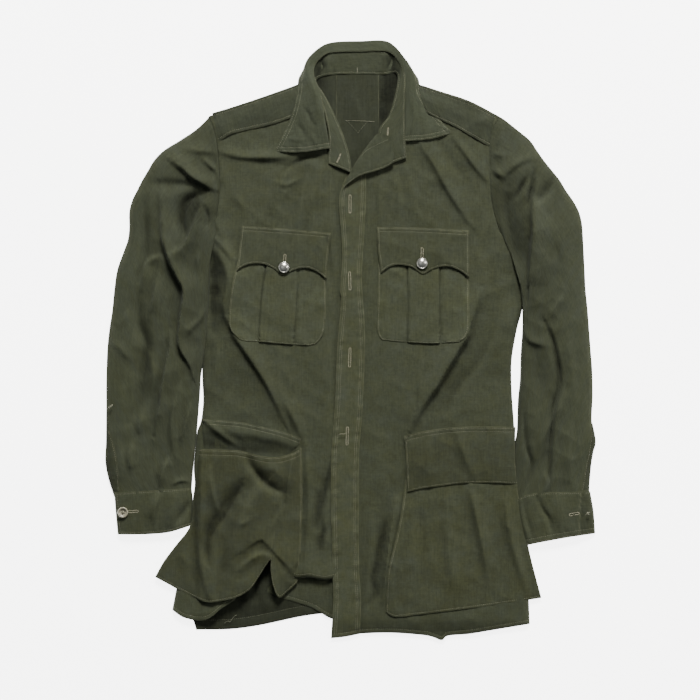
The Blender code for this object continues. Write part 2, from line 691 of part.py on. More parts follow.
def build_buttons(collection):
    domed = [(0.0, 1.0), (0.45, 0.9), (0.8, 0.62), (1.0, 0.3), (0.96, 0.12), (0.7, 0.0), (0.0, 0.0)]
    rimmed = [(0.0, 0.55), (0.6, 0.55), (0.78, 1.0), (0.95, 0.85), (1.0, 0.4), (0.85, 0.0), (0.0, 0.0)]
    for button in METAL_BUTTONS:
        turned_button(button, domed, collection, BUTTON_METAL)
    turned_button(CUFF_BUTTON, rimmed, collection, BUTTON_HORN)


def build_shirt():
    remove_scene_objects()
    collection = bpy.data.collections.new("bush_shirt")
    bpy.context.scene.collection.children.link(collection)
    build_back(collection)
    build_fronts(collection)
    build_band(collection)
    build_chest_pockets(collection)
    build_lower_pockets(collection)
    build_straps(collection)
    build_sleeves(collection)
    build_collar(collection)
    build_buttons(collection)


build_shirt()
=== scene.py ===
# Bush shirt, laid flat: the looks. Outlines are picked on the photo, in its pixels
# (1.45 mm each, x to the right, y down). Heights are in millimetres above the surface the shirt
# lies on, and widths in millimetres. Right and left in the names are the wearer's, so "right" is
# the picture's left.

import bpy, math
import numpy as np
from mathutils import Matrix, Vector


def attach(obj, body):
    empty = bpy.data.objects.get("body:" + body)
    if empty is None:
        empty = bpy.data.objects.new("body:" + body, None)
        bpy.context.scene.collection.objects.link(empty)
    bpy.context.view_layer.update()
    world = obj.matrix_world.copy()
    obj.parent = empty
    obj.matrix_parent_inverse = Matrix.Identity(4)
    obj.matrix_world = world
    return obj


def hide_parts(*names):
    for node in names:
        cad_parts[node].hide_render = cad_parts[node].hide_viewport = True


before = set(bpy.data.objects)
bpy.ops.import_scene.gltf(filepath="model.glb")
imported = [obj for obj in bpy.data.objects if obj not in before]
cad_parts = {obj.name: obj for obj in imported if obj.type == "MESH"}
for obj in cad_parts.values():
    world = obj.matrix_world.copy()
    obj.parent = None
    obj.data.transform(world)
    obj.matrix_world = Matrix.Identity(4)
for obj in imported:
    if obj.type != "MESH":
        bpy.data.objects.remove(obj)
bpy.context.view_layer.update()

pixel = 1.45  # mm
pictureSide = 700  # pixels
pictureMiddle = (350, 340)  # the pixel over the frame's origin
wall = 0.9  # thickness of the cloth as shown
layer = 1.2  # what one more piece on a panel rises
stitchLines = []  # (points in mm, kind) collected while the pieces are made, sewn at the end
sew = []  # loose threads and button threads: (points in mm, radius)
grids = {}  # finished pieces that others are laid on


def at(points):
    places = np.array(points, float)
    places[:, 0] = (places[:, 0] - pictureMiddle[0]) * pixel
    places[:, 1] = (pictureMiddle[1] - places[:, 1]) * pixel
    return places


def inSpace(points):
    # pixels with a height in mm, to mm in all three
    return [list(at([point[:2]])[0]) + [point[2]] for point in points]


def smooth(points, steps=12):
    # a Catmull-Rom curve through the points, or through rows of points
    points = np.array(points, float)
    points = np.concatenate([2 * points[:1] - points[1:2], points, 2 * points[-1:] - points[-2:-1]])
    t = np.linspace(0, 1, steps, endpoint=False).reshape([-1] + [1] * (points.ndim - 1))
    parts = [0.5 * (2 * b + (c - a) * t + (2 * a - 5 * b + 4 * c - d) * t ** 2
                    + (3 * b - a - 3 * c + d) * t ** 3)
             for a, b, c, d in zip(points, points[1:], points[2:], points[3:])]
    return np.concatenate(parts + [points[-2:-1]])


def distances(line):
    return np.concatenate([[0], np.cumsum(np.linalg.norm(np.diff(line, axis=0), axis=1))])


def walk(line, shares):
    run = distances(line)
    flat = np.ravel(shares) * run[-1]
    return np.stack([np.interp(flat, run, column) for column in line.T], -1).reshape(np.shape(shares) + (-1,))


def ease(x):
    x = np.clip(x, 0, 1)
    return x * x * (3 - 2 * x)


def noise(x, y, size, seed, stretch=1.0, turn=0.0):
    # smooth value noise from -1 to 1; stretch lengthens it along the turned direction
    cosine, sine = math.cos(math.radians(turn)), math.sin(math.radians(turn))
    gx, gy = (x * cosine + y * sine) / size / stretch, (y * cosine - x * sine) / size
    ix, iy = np.floor(gx).astype(np.int64), np.floor(gy).astype(np.int64)
    fx, fy = ease(gx - ix), ease(gy - iy)

    def corner(i, j):
        h = (i * 374761393 + j * 668265263 + seed * 1274126177) & 0xFFFFFFFF
        h = ((h ^ (h >> 13)) * 1274126177) & 0xFFFFFFFF
        return ((h ^ (h >> 16)) & 0xFFFF) / 32767.5 - 1

    low = corner(ix, iy) * (1 - fx) + corner(ix + 1, iy) * fx
    high = corner(ix, iy + 1) * (1 - fx) + corner(ix + 1, iy + 1) * fx
    return low * (1 - fy) + high * fy


def crumple(x, y, seed, amount=1.0):
    # the small creases of washed cotton: soft hollows with sharper ridges between them
    total = 0
    for size, height, turn, stretch in ((46, 0.9, 25, 1.6), (27, 0.65, -35, 1.8), (13, 0.42, 70, 1.6)):
        seed += 1
        total = total + height * (1 - 2 * np.abs(noise(x, y, size, seed, stretch, turn)) ** 0.8)
    return total * amount * 0.55


def creases(x, y, table):
    # each crease is (points, height, right width, left width), in mm; right and left are those of
    # the picture when the points go down it
    total = np.zeros_like(x)
    for points, height, rightWidth, leftWidth in table:
        line = smooth(at(points), 5)
        best = np.full(x.shape, 1e9)
        side = np.zeros_like(x)
        along = np.zeros_like(x)
        run = distances(line)
        for (ax, ay), (bx, by), start in zip(line, line[1:], run):
            dx, dy = bx - ax, by - ay
            t = np.clip(((x - ax) * dx + (y - ay) * dy) / (dx * dx + dy * dy), 0, 1)
            ex, ey = x - ax - t * dx, y - ay - t * dy
            away = np.hypot(ex, ey)
            closer = away < best
            best = np.where(closer, away, best)
            side = np.where(closer, dx * ey - dy * ex, side)
            along = np.where(closer, start + t * math.hypot(dx, dy), along)
        fade = np.sin(np.pi * np.clip(along / run[-1] * 0.9 + 0.05, 0, 1)) ** 0.7
        width = np.where(side > 0, rightWidth, leftWidth)
        total += height * fade * np.exp(-(best / width) ** 1.6)
    return total


edgeMarks = [0.6, 1.4, 2.4]  # mm from an edge, where its rounding needs points


def stations(length, spacing, nearStart, nearEnd):
    count = max(int(round(length / spacing)), 3)
    marks = nearStart + [length - mark for mark in nearEnd]
    plain = [k * length / count for k in range(1, count)]
    kept = [place for place in plain if all(abs(place - mark) > 0.45 * spacing for mark in marks)
            and max(nearStart + [0]) < place < length - max(nearEnd + [0])]
    return np.array(sorted([0.0, length] + marks + kept))


def spread(marks, length, wanted, startBand, endBand):
    # moves stations made for one length to rows of other lengths; the bands at both ends keep their size
    middle = startBand + (marks - startBand) * (wanted - startBand - endBand) / (length - startBand - endBand)
    middle = np.where(marks >= length - endBand, wanted - (length - marks), middle)
    return np.where(marks <= startBand, marks, middle)


def nearEdges(rows):
    # the marks that each side needs for its rounding and its stitch rows, and how far in they reach
    near = {}
    for side in ("top", "right", "bottom", "left"):
        marks = list(edgeMarks) if side in rows else []
        for row in rows.get(side, []):
            marks += [mark for mark in (row - 0.9, row, row + 0.9) if mark > 2.6 or mark == row]
        near[side] = sorted(set(marks))
    return near, {side: max(near[side] + [0]) for side in near}


def patch(top, right, bottom, left, spacing, rows):
    # a grid between four outline curves, with its own columns and rows at the edges and stitch rows
    top, right, bottom, left = [smooth(at(side)) for side in (top, right, bottom, left)]
    near, bands = nearEdges(rows)
    meanWidth = (distances(top)[-1] + distances(bottom)[-1]) / 2
    meanLength = (distances(left)[-1] + distances(right)[-1]) / 2
    acrossMarks = stations(meanWidth, spacing, near["left"], near["right"])
    downMarks = stations(meanLength, spacing, near["top"], near["bottom"])
    u0, v0 = acrossMarks / meanWidth, downMarks / meanLength
    widths = np.linalg.norm(walk(right, v0) - walk(left, v0), axis=1)
    lengths = np.linalg.norm(walk(bottom, u0) - walk(top, u0), axis=1)
    fromLeft = spread(acrossMarks[None, :], meanWidth, widths[:, None], bands["left"], bands["right"])
    fromTop = spread(downMarks[:, None], meanLength, lengths[None, :], bands["top"], bands["bottom"])
    u, v = fromLeft / widths[:, None], fromTop / lengths[None, :]
    onTop, onBottom, onLeft, onRight = walk(top, u), walk(bottom, u), walk(left, v), walk(right, v)
    uu, vv = u[..., None], v[..., None]
    corners = (1 - uu) * (1 - vv) * top[0] + uu * (1 - vv) * top[-1]
    corners = corners + (1 - uu) * vv * bottom[0] + uu * vv * bottom[-1]
    xy = (1 - vv) * onTop + vv * onBottom + (1 - uu) * onLeft + uu * onRight - corners
    return {"x": xy[..., 0], "y": xy[..., 1], "v": v, "rows": rows,
            "left": fromLeft, "right": widths[:, None] - fromLeft,
            "top": fromTop, "bottom": lengths[None, :] - fromTop}


def framed(sides, spacing, rows):
    return patch(sides["top"], sides["right"], sides["bottom"], sides["left"], spacing, rows)


def sewnEdges(grid, seed, puckers=0.3, edgeDepth=0.55):
    # what the edges and stitch rows of a piece do to its surface
    z = np.zeros_like(grid["x"])
    for number, (side, rows) in enumerate(grid["rows"].items()):
        away = grid[side]
        along = grid["top"] if side in ("left", "right") else grid["left"]
        z -= edgeDepth * np.clip(1 - away / 2.2, 0, 1) ** 2
        for row in rows:
            z -= 0.28 * np.exp(-((away - row) / 0.9) ** 2)
            z += puckers * noise(along, away * 0.35, 6.5, seed + number) * np.exp(-((away - row) / 6) ** 2)
    return z


def wearOf(grid, sewnIn=()):
    # how rubbed the cloth is: along edges and stitch rows, but not where an edge is sewn into a seam
    wearAndShade = np.zeros_like(grid["x"])
    for side, rows in grid["rows"].items():
        if side in sewnIn:
            continue
        along = grid["top"] if side in ("left", "right") else grid["left"]
        patchy = 0.65 + 0.35 * noise(along, grid[side], 9, 77)
        wearAndShade = np.maximum(wearAndShade, 0.8 * np.exp(-(grid[side] / 1.1) ** 2) * patchy)
        for row in rows:
            wearAndShade = np.maximum(wearAndShade, 0.2 * np.exp(-((grid[side] - row) / 1.5) ** 2) * patchy)
    return wearAndShade


def paintedHollowShade(z, rounds=36, depth=3.2):
    # painted shade: from 0 to 1 where a piece lies lower than the cloth around it, to darken its colour there
    soft = z
    for _ in range(rounds):
        padded = np.pad(soft, 1, mode="edge")
        beside = padded[:-2, 1:-1] + padded[2:, 1:-1] + padded[1:-1, :-2] + padded[1:-1, 2:]
        soft = (padded[1:-1, 1:-1] + beside) / 5
    return np.clip((soft - z) / depth, 0, 1)


def rowLine(grid, surface, side, row, trim=None):
    # the points of a stitch row, on the finished surface, kept clear of the rows at its ends
    if side in ("left", "right"):
        index = np.argmin(np.abs(grid[side] - row), axis=1)
        line = surface[np.arange(len(index)), index]
        start, finish = grid["top"][:, 0], grid["bottom"][:, 0]
        ends = ("top", "bottom")
    else:
        index = np.argmin(np.abs(grid[side] - row), axis=0)
        line = surface[index, np.arange(len(index))]
        start, finish = grid["left"][0], grid["right"][0]
        ends = ("left", "right")
    trims = [min(grid["rows"].get(end) or [0]) if trim is None else trim for end in ends]
    return line[(start >= trims[0] - 0.01) & (finish >= trims[1] - 0.01)]


def nearestHeight(grid, x, y):
    # height of a finished surface at one place (mm)
    surface = grid["surface"].reshape(-1, 3)
    return surface[np.argmin((surface[:, 0] - x) ** 2 + (surface[:, 1] - y) ** 2), 2]


def paintShadePatches(wearAndShade, grid, shadePatches):
    # painted shade: darker patches where shade falls, each (place, radius in mm, amount)
    for place, radius, amount in shadePatches:
        x, y = at([place])[0]
        wearAndShade = wearAndShade - amount * np.exp(-((grid["x"] - x) ** 2 + (grid["y"] - y) ** 2) / radius ** 2)
    return wearAndShade


def makeMesh(name, surfaces, material, uvs, wearAndShadeMaps, closedAcross=False, closedAround=False):
    # one mesh from one or more grids of points (mm); the wall is put under them by Solidify
    verts, faces, uvAll, allWearAndShade, first = [], [], [], [], 0
    for surface, uv, wearAndShade in zip(surfaces, uvs, wearAndShadeMaps):
        m, n = surface.shape[:2]
        index = first + np.arange(m * n).reshape(m, n)
        if closedAcross:
            index = np.concatenate([index, index[:, :1]], axis=1)
        if closedAround:
            index = np.concatenate([index, index[:1]], axis=0)
        quads = np.stack([index[:-1, :-1], index[1:, :-1], index[1:, 1:], index[:-1, 1:]], -1).reshape(-1, 4)
        verts.append(surface.reshape(-1, 3) * 0.001)
        faces.append(quads)
        uvAll.append(uv.reshape(-1, 2) * 0.001)
        allWearAndShade.append(np.ravel(wearAndShade))
        first += m * n
    verts, faces = np.concatenate(verts), np.concatenate(faces)
    mesh = bpy.data.meshes.new(name)
    mesh.from_pydata(verts.tolist(), [], faces.tolist())
    uvAll, allWearAndShade = np.concatenate(uvAll), np.concatenate(allWearAndShade)
    loops = np.empty(len(mesh.loops), int)
    mesh.loops.foreach_get("vertex_index", loops)
    mesh.uv_layers.new(name="grain").data.foreach_set("uv", uvAll[loops].astype(np.float32).ravel())
    mesh.attributes.new("wearAndShade", "FLOAT", "POINT").data.foreach_set("value", allWearAndShade.astype(np.float32))
    mesh.materials.append(material)
    mesh.shade_smooth()
    piece = bpy.data.objects.new(name, mesh)
    bpy.context.scene.collection.objects.link(piece)
    return piece


def plainMesh(piece):
    # applies the modifiers, so that the finished piece is a plain mesh
    bpy.context.view_layer.update()
    graph = bpy.context.evaluated_depsgraph_get()
    shown = piece.evaluated_get(graph)
    mesh = bpy.data.meshes.new_from_object(shown, preserve_all_data_layers=True, depsgraph=graph)
    piece.modifiers.clear()
    piece.data = mesh
    for vert in mesh.vertices:  # nothing goes below the surface the shirt lies on
        vert.co.z = max(vert.co.z, 0.0)


def giveWall(piece):
    solid = piece.modifiers.new("wall", "SOLIDIFY")
    solid.thickness = wall * 0.001
    solid.offset = -1.0  # under the shaped surface
    plainMesh(piece)
    piece.data.set_sharp_from_angle(angle=math.radians(55))
    return piece


def finishPiece(piece, nodes, flat, area=None):
    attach(piece, "root")
    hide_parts(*nodes)
    surface = sum(face.area for face in piece.data.polygons) / 2
    heights = [vert.co.z * 1000 for vert in piece.data.vertices]
    share = "with %.2f of its cut" % (surface / (area or flat[0] * flat[1])) if flat else ""
    print("made", piece.name, len(piece.data.polygons), "faces", round(min(heights), 1), "to",
          round(max(heights), 1), "mm high", share)


def clothPiece(name, grid, z, material, seed, flat, nodes, area=None, puckers=0.3,
               grain="plan", sewnIn=(), extra=(), shadePatches=()):
    # a laid piece from its grid and its height; its stitch rows are kept for the thread
    z = z + sewnEdges(grid, seed, puckers)
    surface = np.stack([grid["x"], grid["y"], z], -1)
    uv = np.stack([grid["x"], grid["y"]] if grain == "plan" else [grid["left"], grid["top"]], -1)
    # the rubbed edges, less painted shade in the hollows and in the listed dark patches
    wearAndShade = paintShadePatches(wearOf(grid, sewnIn) - paintedHollowShade(z), grid, shadePatches)
    surfaces, uvs, wearAndShadeMaps = zip((surface, uv, wearAndShade), *extra)
    piece = giveWall(makeMesh(name, surfaces, material, uvs, wearAndShadeMaps))
    for side, rows in grid["rows"].items():
        for row in rows:
            stitchLines.append((rowLine(grid, surface, side, row), "seam"))
    grid["surface"] = surface
    finishPiece(piece, nodes, flat, area)


class Value:
    # a socket that can be used in plain arithmetic
    def __init__(self, shader, socket):
        self.shader, self.socket = shader, socket

    def math(self, operation, first, second=0.0):
        return self.shader.add("ShaderNodeMath", {"operation": operation}, {0: first, 1: second})

    def __add__(self, other):
        return self.math("ADD", self, other)

    def __radd__(self, other):
        return self.math("ADD", other, self)

    def __sub__(self, other):
        return self.math("SUBTRACT", self, other)

    def __rsub__(self, other):
        return self.math("SUBTRACT", other, self)

    def __mul__(self, other):
        return self.math("MULTIPLY", self, other)

    def __rmul__(self, other):
        return self.math("MULTIPLY", other, self)

    def wave(self):
        return self.math("SINE", self)

    def size(self):
        return self.math("ABSOLUTE", self)

    def limit(self):
        return self.shader.add("ShaderNodeClamp", {}, {"Value": self})


class Shader:
    def __init__(self, name):
        self.material = bpy.data.materials.new(name)
        self.material.use_nodes = True
        self.tree = self.material.node_tree
        self.surface = self.tree.nodes["Principled BSDF"]

    def put(self, socket, value):
        if isinstance(value, Value):
            self.tree.links.new(value.socket, socket)
        else:
            socket.default_value = value

    def add(self, kind, settings, values, output=0):
        node = self.tree.nodes.new(kind)
        for key, setting in settings.items():
            setattr(node, key, setting)
        for key, value in values.items():
            self.put(node.inputs[key], value)
        return Value(self, node.outputs[output])

    def noise(self, vector, scale, detail=2.0, roughness=0.5):
        return self.add("ShaderNodeTexNoise", {"noise_dimensions": "3D"},
                        {"Vector": vector, "Scale": scale, "Detail": detail, "Roughness": roughness})

    def mix(self, factor, first, second):
        return self.add("ShaderNodeMix", {"data_type": "RGBA"}, {0: factor, 6: first, 7: second}, 2)

    def scaled(self, vector, factors):
        return self.add("ShaderNodeVectorMath", {"operation": "MULTIPLY"}, {0: vector, 1: factors})

    def bump(self, height, distance, strength=1.0, normal=None):
        values = {"Height": height, "Distance": distance, "Strength": strength}
        if normal:
            values["Normal"] = normal
        return self.add("ShaderNodeBump", {}, values)

    def finish(self, **sockets):
        for name, value in sockets.items():
            self.put(self.surface.inputs[name.replace("_", " ")], value)
        return self.material


drill = {
    "colour": (0.0295, 0.0330, 0.0172, 1),  # washed olive
    "cool": (0.0252, 0.0290, 0.0205, 1),  # where it has greyed
    "worn": (0.080, 0.082, 0.048, 1),  # rubbed edges
    "threadPitch": 0.00052,  # metres between two warp threads
    "roughness": 0.88,
}


def makeCloth(name, tint, warmth, offset, fade=0.0):
    shader = Shader(name)
    grain = shader.add("ShaderNodeUVMap", {"uv_map": "grain"}, {})
    moved = (offset, offset * 1.7, offset)
    grain = shader.add("ShaderNodeVectorMath", {"operation": "ADD"}, {0: grain, 1: moved})
    parts = shader.add("ShaderNodeSeparateXYZ", {}, {0: grain})
    across = Value(shader, parts.socket.node.outputs["X"])
    down = Value(shader, parts.socket.node.outputs["Y"])
    wearAndShade = shader.add("ShaderNodeAttribute", {"attribute_name": "wearAndShade"}, {}, "Fac")

    mottle = shader.noise(grain, 22.0, 3.0, 0.6)  # fading, 45 mm across
    clouds = shader.noise(grain, 75.0, 3.0, 0.6)  # 13 mm
    warpStreaks = shader.noise(shader.scaled(grain, (1.0, 0.06, 1.0)), 620.0, 2.0, 0.6)  # slubs
    weftStreaks = shader.noise(shader.scaled(grain, (0.08, 1.0, 1.0)), 700.0, 2.0, 0.6)
    blotches = shader.noise(grain, 240.0, 2.0, 0.6)  # 4 mm
    fleck = shader.noise(grain, 1500.0, 1.0, 0.5)

    light = 1 + 0.30 * (mottle - 0.5) + 0.32 * (clouds - 0.5) + 0.50 * (blotches - 0.5)
    light = light + 0.50 * (warpStreaks - 0.5) + 0.34 * (weftStreaks - 0.5) + 0.45 * (fleck - 0.5)
    # painted light: a ramp along the grain (fade a metre) makes the colour paler towards the hem and cuffs,
    # where the lamp gives less light; painted shade: the colour is darker where the attribute read above is
    # below zero
    light = light + fade * (down - offset * 1.7) - 0.56 * (wearAndShade * -0.68).limit()
    hue = (1 + warmth, 1 + warmth * 0.6, 1 - warmth)
    base = tuple(channel * tint * factor for channel, factor in zip(drill["colour"], hue)) + (1,)
    cool = tuple(channel * tint for channel in drill["cool"][:3]) + (1,)
    colour = shader.mix(((clouds * 0.5 + mottle * 0.5 - 0.35) * 2.4).limit(), base, cool)
    worn = (wearAndShade * (0.35 + 0.9 * (warpStreaks * clouds))).limit()
    colour = shader.mix(worn * 0.8, colour, drill["worn"])
    colour = shader.scaled(colour, shader.add("ShaderNodeCombineXYZ", {}, {0: light, 1: light, 2: light}))

    turn = 2 * math.pi / drill["threadPitch"]
    warp = (across * turn).wave()
    twill = ((across + down) * (turn / 2.6)).wave()
    weave = 0.5 + 0.22 * warp + 0.28 * twill
    soft = shader.noise(shader.scaled(grain, (1.0, 0.55, 1.0)), 55.0, 2.0, 0.55)
    ridges = 1 - (soft * 2 - 1).size()
    fine = shader.noise(grain, 170.0, 2.0, 0.6)
    relief = shader.bump(ridges * 0.75 + fine * 0.3, 0.0011, 0.55)
    relief = shader.bump(warpStreaks * 0.6 + weftStreaks * 0.4 + fleck * 0.3, 0.00022, 0.8, relief)
    relief = shader.bump(weave, 0.00012, 0.7, relief)
    rough = drill["roughness"] + 0.1 * (fleck - 0.5) - 0.08 * wearAndShade
    return shader.finish(Base_Color=colour, Roughness=rough, Normal=relief, Specular_IOR_Level=0.12,
                         Sheen_Weight=0.03, Sheen_Roughness=0.5, Sheen_Tint=(0.75, 0.8, 0.78, 1))


def makeThread(name, colour):
    shader = Shader(name)
    place = shader.add("ShaderNodeTexCoord", {}, {}, "Object")
    patchy = shader.noise(place, 120.0, 2.0, 0.6)
    ply = shader.noise(place, 2600.0, 1.0, 0.5)
    dark = tuple(channel * 0.62 for channel in colour) + (1,)
    tone = shader.mix((patchy * 1.3 - 0.15).limit(), dark, colour + (1,))
    return shader.finish(Base_Color=tone, Roughness=0.75 + 0.2 * (ply - 0.5),
                         Normal=shader.bump(ply, 0.0001, 0.6), Sheen_Weight=0.2)


cloth = {
    # tint, warmth, offset of the pattern, painted change of light a metre along the grain
    "body": makeCloth("clothBody", 1.03, 0.01, 0.0, -0.22),  # painted light, paler towards the hem
    "band": makeCloth("clothBand", 1.16, 0.05, 0.31, -0.22),
    "pocket": makeCloth("clothPocket", 1.13, 0.02, 0.57),
    "flap": makeCloth("clothFlap", 0.94, 0.02, 0.57),
    "lowerPocket": makeCloth("clothLowerPocket", 1.10, 0.05, 0.57),
    "lowerFlap": makeCloth("clothLowerFlap", 0.92, 0.06, 0.71),
    "gapingPocket": makeCloth("clothGapingPocket", 0.86, 0.07, 0.71, -0.6),
    "flapInside": makeCloth("clothFlapInside", 0.95, -0.02, 0.77),
    "sleeve": makeCloth("clothSleeve", 0.83, -0.01, 0.83, 0.62),  # painted light, paler towards the cuff
    "cuff": makeCloth("clothCuff", 1.12, 0.0, 0.89),
    "strap": makeCloth("clothStrap", 0.81, -0.05, 0.97),
    "collar": makeCloth("clothCollar", 1.04, -0.06, 1.13),
    "inside": makeCloth("clothInside", 0.97, -0.03, 1.41),
    # painted shade: the back is darker all over, for the shade inside the neck and under the turned-up hem
    "back": makeCloth("clothBackShaded", 0.64, -0.03, 1.73),
}


rightFront = {
    "rest": 4.2, "underarm": 161,
    # painted shade: dark patches beside the sleeve and under the collar
    "shadePatches": [((213, 254), 10, 1.0), ((214, 272), 11, 1.2), ((214, 290), 11, 1.2), ((214, 308), 10, 1.2),
               ((215, 326), 9, 1.0), ((211, 345), 8, 0.7), ((300, 161), 16, 0.5)],
    "top": [(209, 116), (252, 100.5), (282, 90), (311, 79)],
    "side": [(209, 116), (214, 128), (217, 142), (219, 165), (220, 185), (219, 200), (216, 215), (211, 222),
             (208, 229), (208, 243), (207, 262), (206, 300), (204.5, 330), (203, 352), (202, 375), (203, 400),
             (201, 420), (197, 432), (195, 450), (193.5, 468), (194.5, 484), (192.5, 500), (190, 526),
             (183, 560), (177, 585), (172, 610)],
    "centre": [(311, 79), (322, 99), (335, 121), (344, 140), (348, 158), (354, 176), (355, 200), (354, 300),
               (352, 400), (350, 500), (352, 577)],
    "hem": [(172, 610), (185, 618), (205, 620), (222, 608), (236, 598), (250, 580), (262, 566), (272, 561),
            (284, 570), (296, 578), (310, 577.5), (325, 580), (340, 577), (352, 577)],
    "creases": [
        # the first two are pressed down by the pocket on it
        ([(243, 483), (234.5, 497), (228, 507), (220.5, 519), (212, 531), (207.5, 545), (207, 568)], -3.6, 7,
         13),
        ([(246, 458), (254, 470), (266, 484), (283, 493)], -2.4, 10, 7),
        ([(322, 164), (314, 184), (307, 204), (302, 221)], 1.8, 7, 4),
        ([(311, 166), (304, 188), (297, 214)], -1.5, 5, 4),
        ([(297, 170), (291, 186), (283, 198)], 1.5, 6, 4),
        ([(214, 248), (220, 256), (225, 265), (228, 277), (227, 291), (224, 303), (223, 314)], 11.0, 18, 8),
        ([(213, 246), (213, 268), (212, 300), (211, 330)], -4.5, 8, 6),
        ([(222, 300), (225, 314), (230, 326), (235, 337), (243, 348), (249, 357), (255, 366), (261, 375),
          (267, 385), (273, 397), (279, 409), (284, 421)], 6.5, 24, 2.8),
        ([(219, 304), (228, 331), (246, 360), (264, 388), (280, 422)], 1.8, 14, 18),
        ([(285, 402), (291, 413), (297, 426), (303, 440)], 4.5, 14, 5),
        ([(203, 430), (240, 434), (270, 438), (297, 445)], 3.6, 12, 11),
        ([(204, 447), (240, 451), (290, 454)], -1.6, 8, 8),
        ([(220, 152), (234, 156), (250, 158), (272, 158), (288, 157)], 4.0, 9, 3.0),
        ([(287, 168), (296, 162), (306, 157), (318, 155)], -4.0, 4, 5),
        ([(250, 160), (270, 163), (290, 166)], -1.6, 5, 8),
        ([(297, 156), (290, 168), (280, 186), (274, 204), (272, 220)], 3.0, 9, 3.4),
        ([(311, 168), (306, 180), (301, 198), (298, 214), (296, 226)], 3.2, 6, 3.2),
        ([(322, 168), (316, 190), (311, 206), (309, 226)], 2.8, 6, 4),
        ([(276, 182), (283, 185), (290, 184), (300, 178)], 2.0, 4, 3),
        ([(222, 162), (224, 176), (225, 190)], 1.4, 6, 4),
        ([(221, 192), (219, 206), (214, 218), (222, 236), (229, 256)], 2.4, 10, 4),
        ([(212, 236), (219, 243), (228, 253), (236, 262)], 2.6, 6, 3),
        ([(234, 196), (242, 206), (245, 218)], 1.4, 6, 4),
        ([(331, 338), (327, 370), (322, 400)], 2.0, 8, 12),
        ([(278, 347), (279, 375), (280, 403)], 1.0, 2.6, 2.4),
        ([(326, 234), (329, 250), (331, 270), (333, 288)], -3.0, 3, 4),
        ([(334, 462), (328, 482), (322, 500), (317, 518), (315, 530)], -7.0, 5, 6),
        ([(326, 528), (322, 540), (319, 554)], -5.5, 4, 6),
        ([(306, 444), (308, 480), (309, 510), (307, 545), (304, 574)], 5.5, 6, 5),
        ([(330, 496), (325, 515), (326, 535), (323, 560)], 3.0, 4, 3.5),
        ([(300, 330), (296, 345), (290, 356)], 1.4, 6, 4),
        ([(282, 350), (286, 372), (296, 392)], 1.6, 9, 6),
        ([(233, 388), (228, 402), (223, 416)], 1.5, 5, 4),
        ([(215, 340), (216, 372), (212, 400)], 1.8, 6, 5),
    ],
}
leftFront = {
    "rest": 5.7, "underarm": 88,
    "top": [(412, 82), (440, 91), (470, 101), (499, 116)],
    "side": [(499, 116), (492, 130), (489, 145), (489, 165), (490, 190), (493, 210), (500, 232), (507, 240),
             (515, 255), (527, 279), (524, 300), (521, 315), (517, 330), (512, 360), (512, 390), (514, 420),
             (515, 440), (514, 480), (515, 500), (521, 535), (527, 570), (529, 600), (530, 624)],
    "centre": [(412, 82), (404, 110), (392, 134), (376, 152), (360, 166), (350, 182), (344, 196), (343, 235),
               (342, 290), (338, 350), (336, 430), (334, 500), (334, 600), (334, 636)],
    "hem": [(334, 636), (345, 636.5), (360, 634), (390, 633), (420, 635), (432, 637), (442, 640.5),
            (448, 636), (470, 634), (500, 629), (530, 624)],
    "creases": [
        ([(481, 288), (478, 300), (474, 313), (470, 326), (467, 337), (461, 346), (455, 356), (449, 366),
          (443, 376), (436, 388), (428, 399), (420, 412), (412, 428)], 9.5, 2.6, 26),
        ([(483, 296), (471, 334), (455, 361), (436, 393), (415, 429)], 2.4, 22, 16),
        ([(494, 328), (489, 342), (482, 356), (474, 368), (464, 380), (455, 392), (449, 405), (443, 420)],
         -2.2, 5, 10),
        ([(417, 388), (416, 402), (413, 414), (411, 427)], -2.4, 3, 3),
        ([(421, 146), (433, 163), (444, 184), (457, 205), (470, 224)], 4.2, 14, 3.4),
        ([(453, 137), (464, 152), (475, 167), (489, 183)], 3.2, 9, 3.2),
        ([(437, 138), (450, 158), (464, 178), (478, 198)], -1.8, 8, 8),
        ([(380, 168), (379, 190), (379, 224)], 2.6, 5, 2.8),
        ([(396, 176), (399, 200), (398, 226)], 2.0, 4, 3.4),
        ([(405, 165), (412, 190), (416, 222)], 1.6, 7, 5),
        ([(489, 222), (480, 240), (474, 262)], 1.8, 8, 5),
        ([(385, 524), (382, 545), (379, 560), (375, 578)], -5.5, 3.5, 4.5),
        ([(377, 566), (373, 580), (375, 594), (368, 606)], -4.5, 4, 4),
        ([(396, 500), (391, 530), (387, 560), (383, 600)], 8.0, 7, 4),
        ([(372, 512), (371, 545), (367, 580), (363, 630)], 5.5, 4, 6),
        ([(478, 250), (484, 280), (480, 306)], 2.0, 9, 7),
        ([(384, 440), (380, 470), (383, 500)], 1.6, 9, 9),
        ([(508, 300), (506, 330), (498, 352)], 2.0, 6, 9),
        ([(372, 345), (370, 372), (371, 400)], 1.4, 8, 6),
        ([(421, 346), (420, 370), (418, 394)], 1.2, 2.4, 2.6),
        ([(379, 530), (376, 560), (371, 604)], -1.5, 9, 10),
    ],
}


def seamDrop(x, y, line, band=20.0):
    # the fronts come down to the shoulder seam over this width
    (ax, ay), (bx, by) = at(line[:1])[0], at(line[-1:])[0]
    away = np.abs((bx - ax) * (y - ay) - (by - ay) * (x - ax)) / math.hypot(bx - ax, by - ay)
    return 1 - ease(away / band)


def rightTop(x, y):
    # under the other front it lies flat and low
    free = 1 - ease((x + 33) / 14)
    z = creases(x, y, rightFront["creases"]) + crumple(x, y, 11, 1.3) + 1.5 * (1 + noise(x, y, 85, 12))
    z = z * free * (1 - 0.75 * seamDrop(x, y, rightFront["top"]))
    return rightFront["rest"] + z - 1.2 * seamDrop(x, y, rightFront["top"], 14)


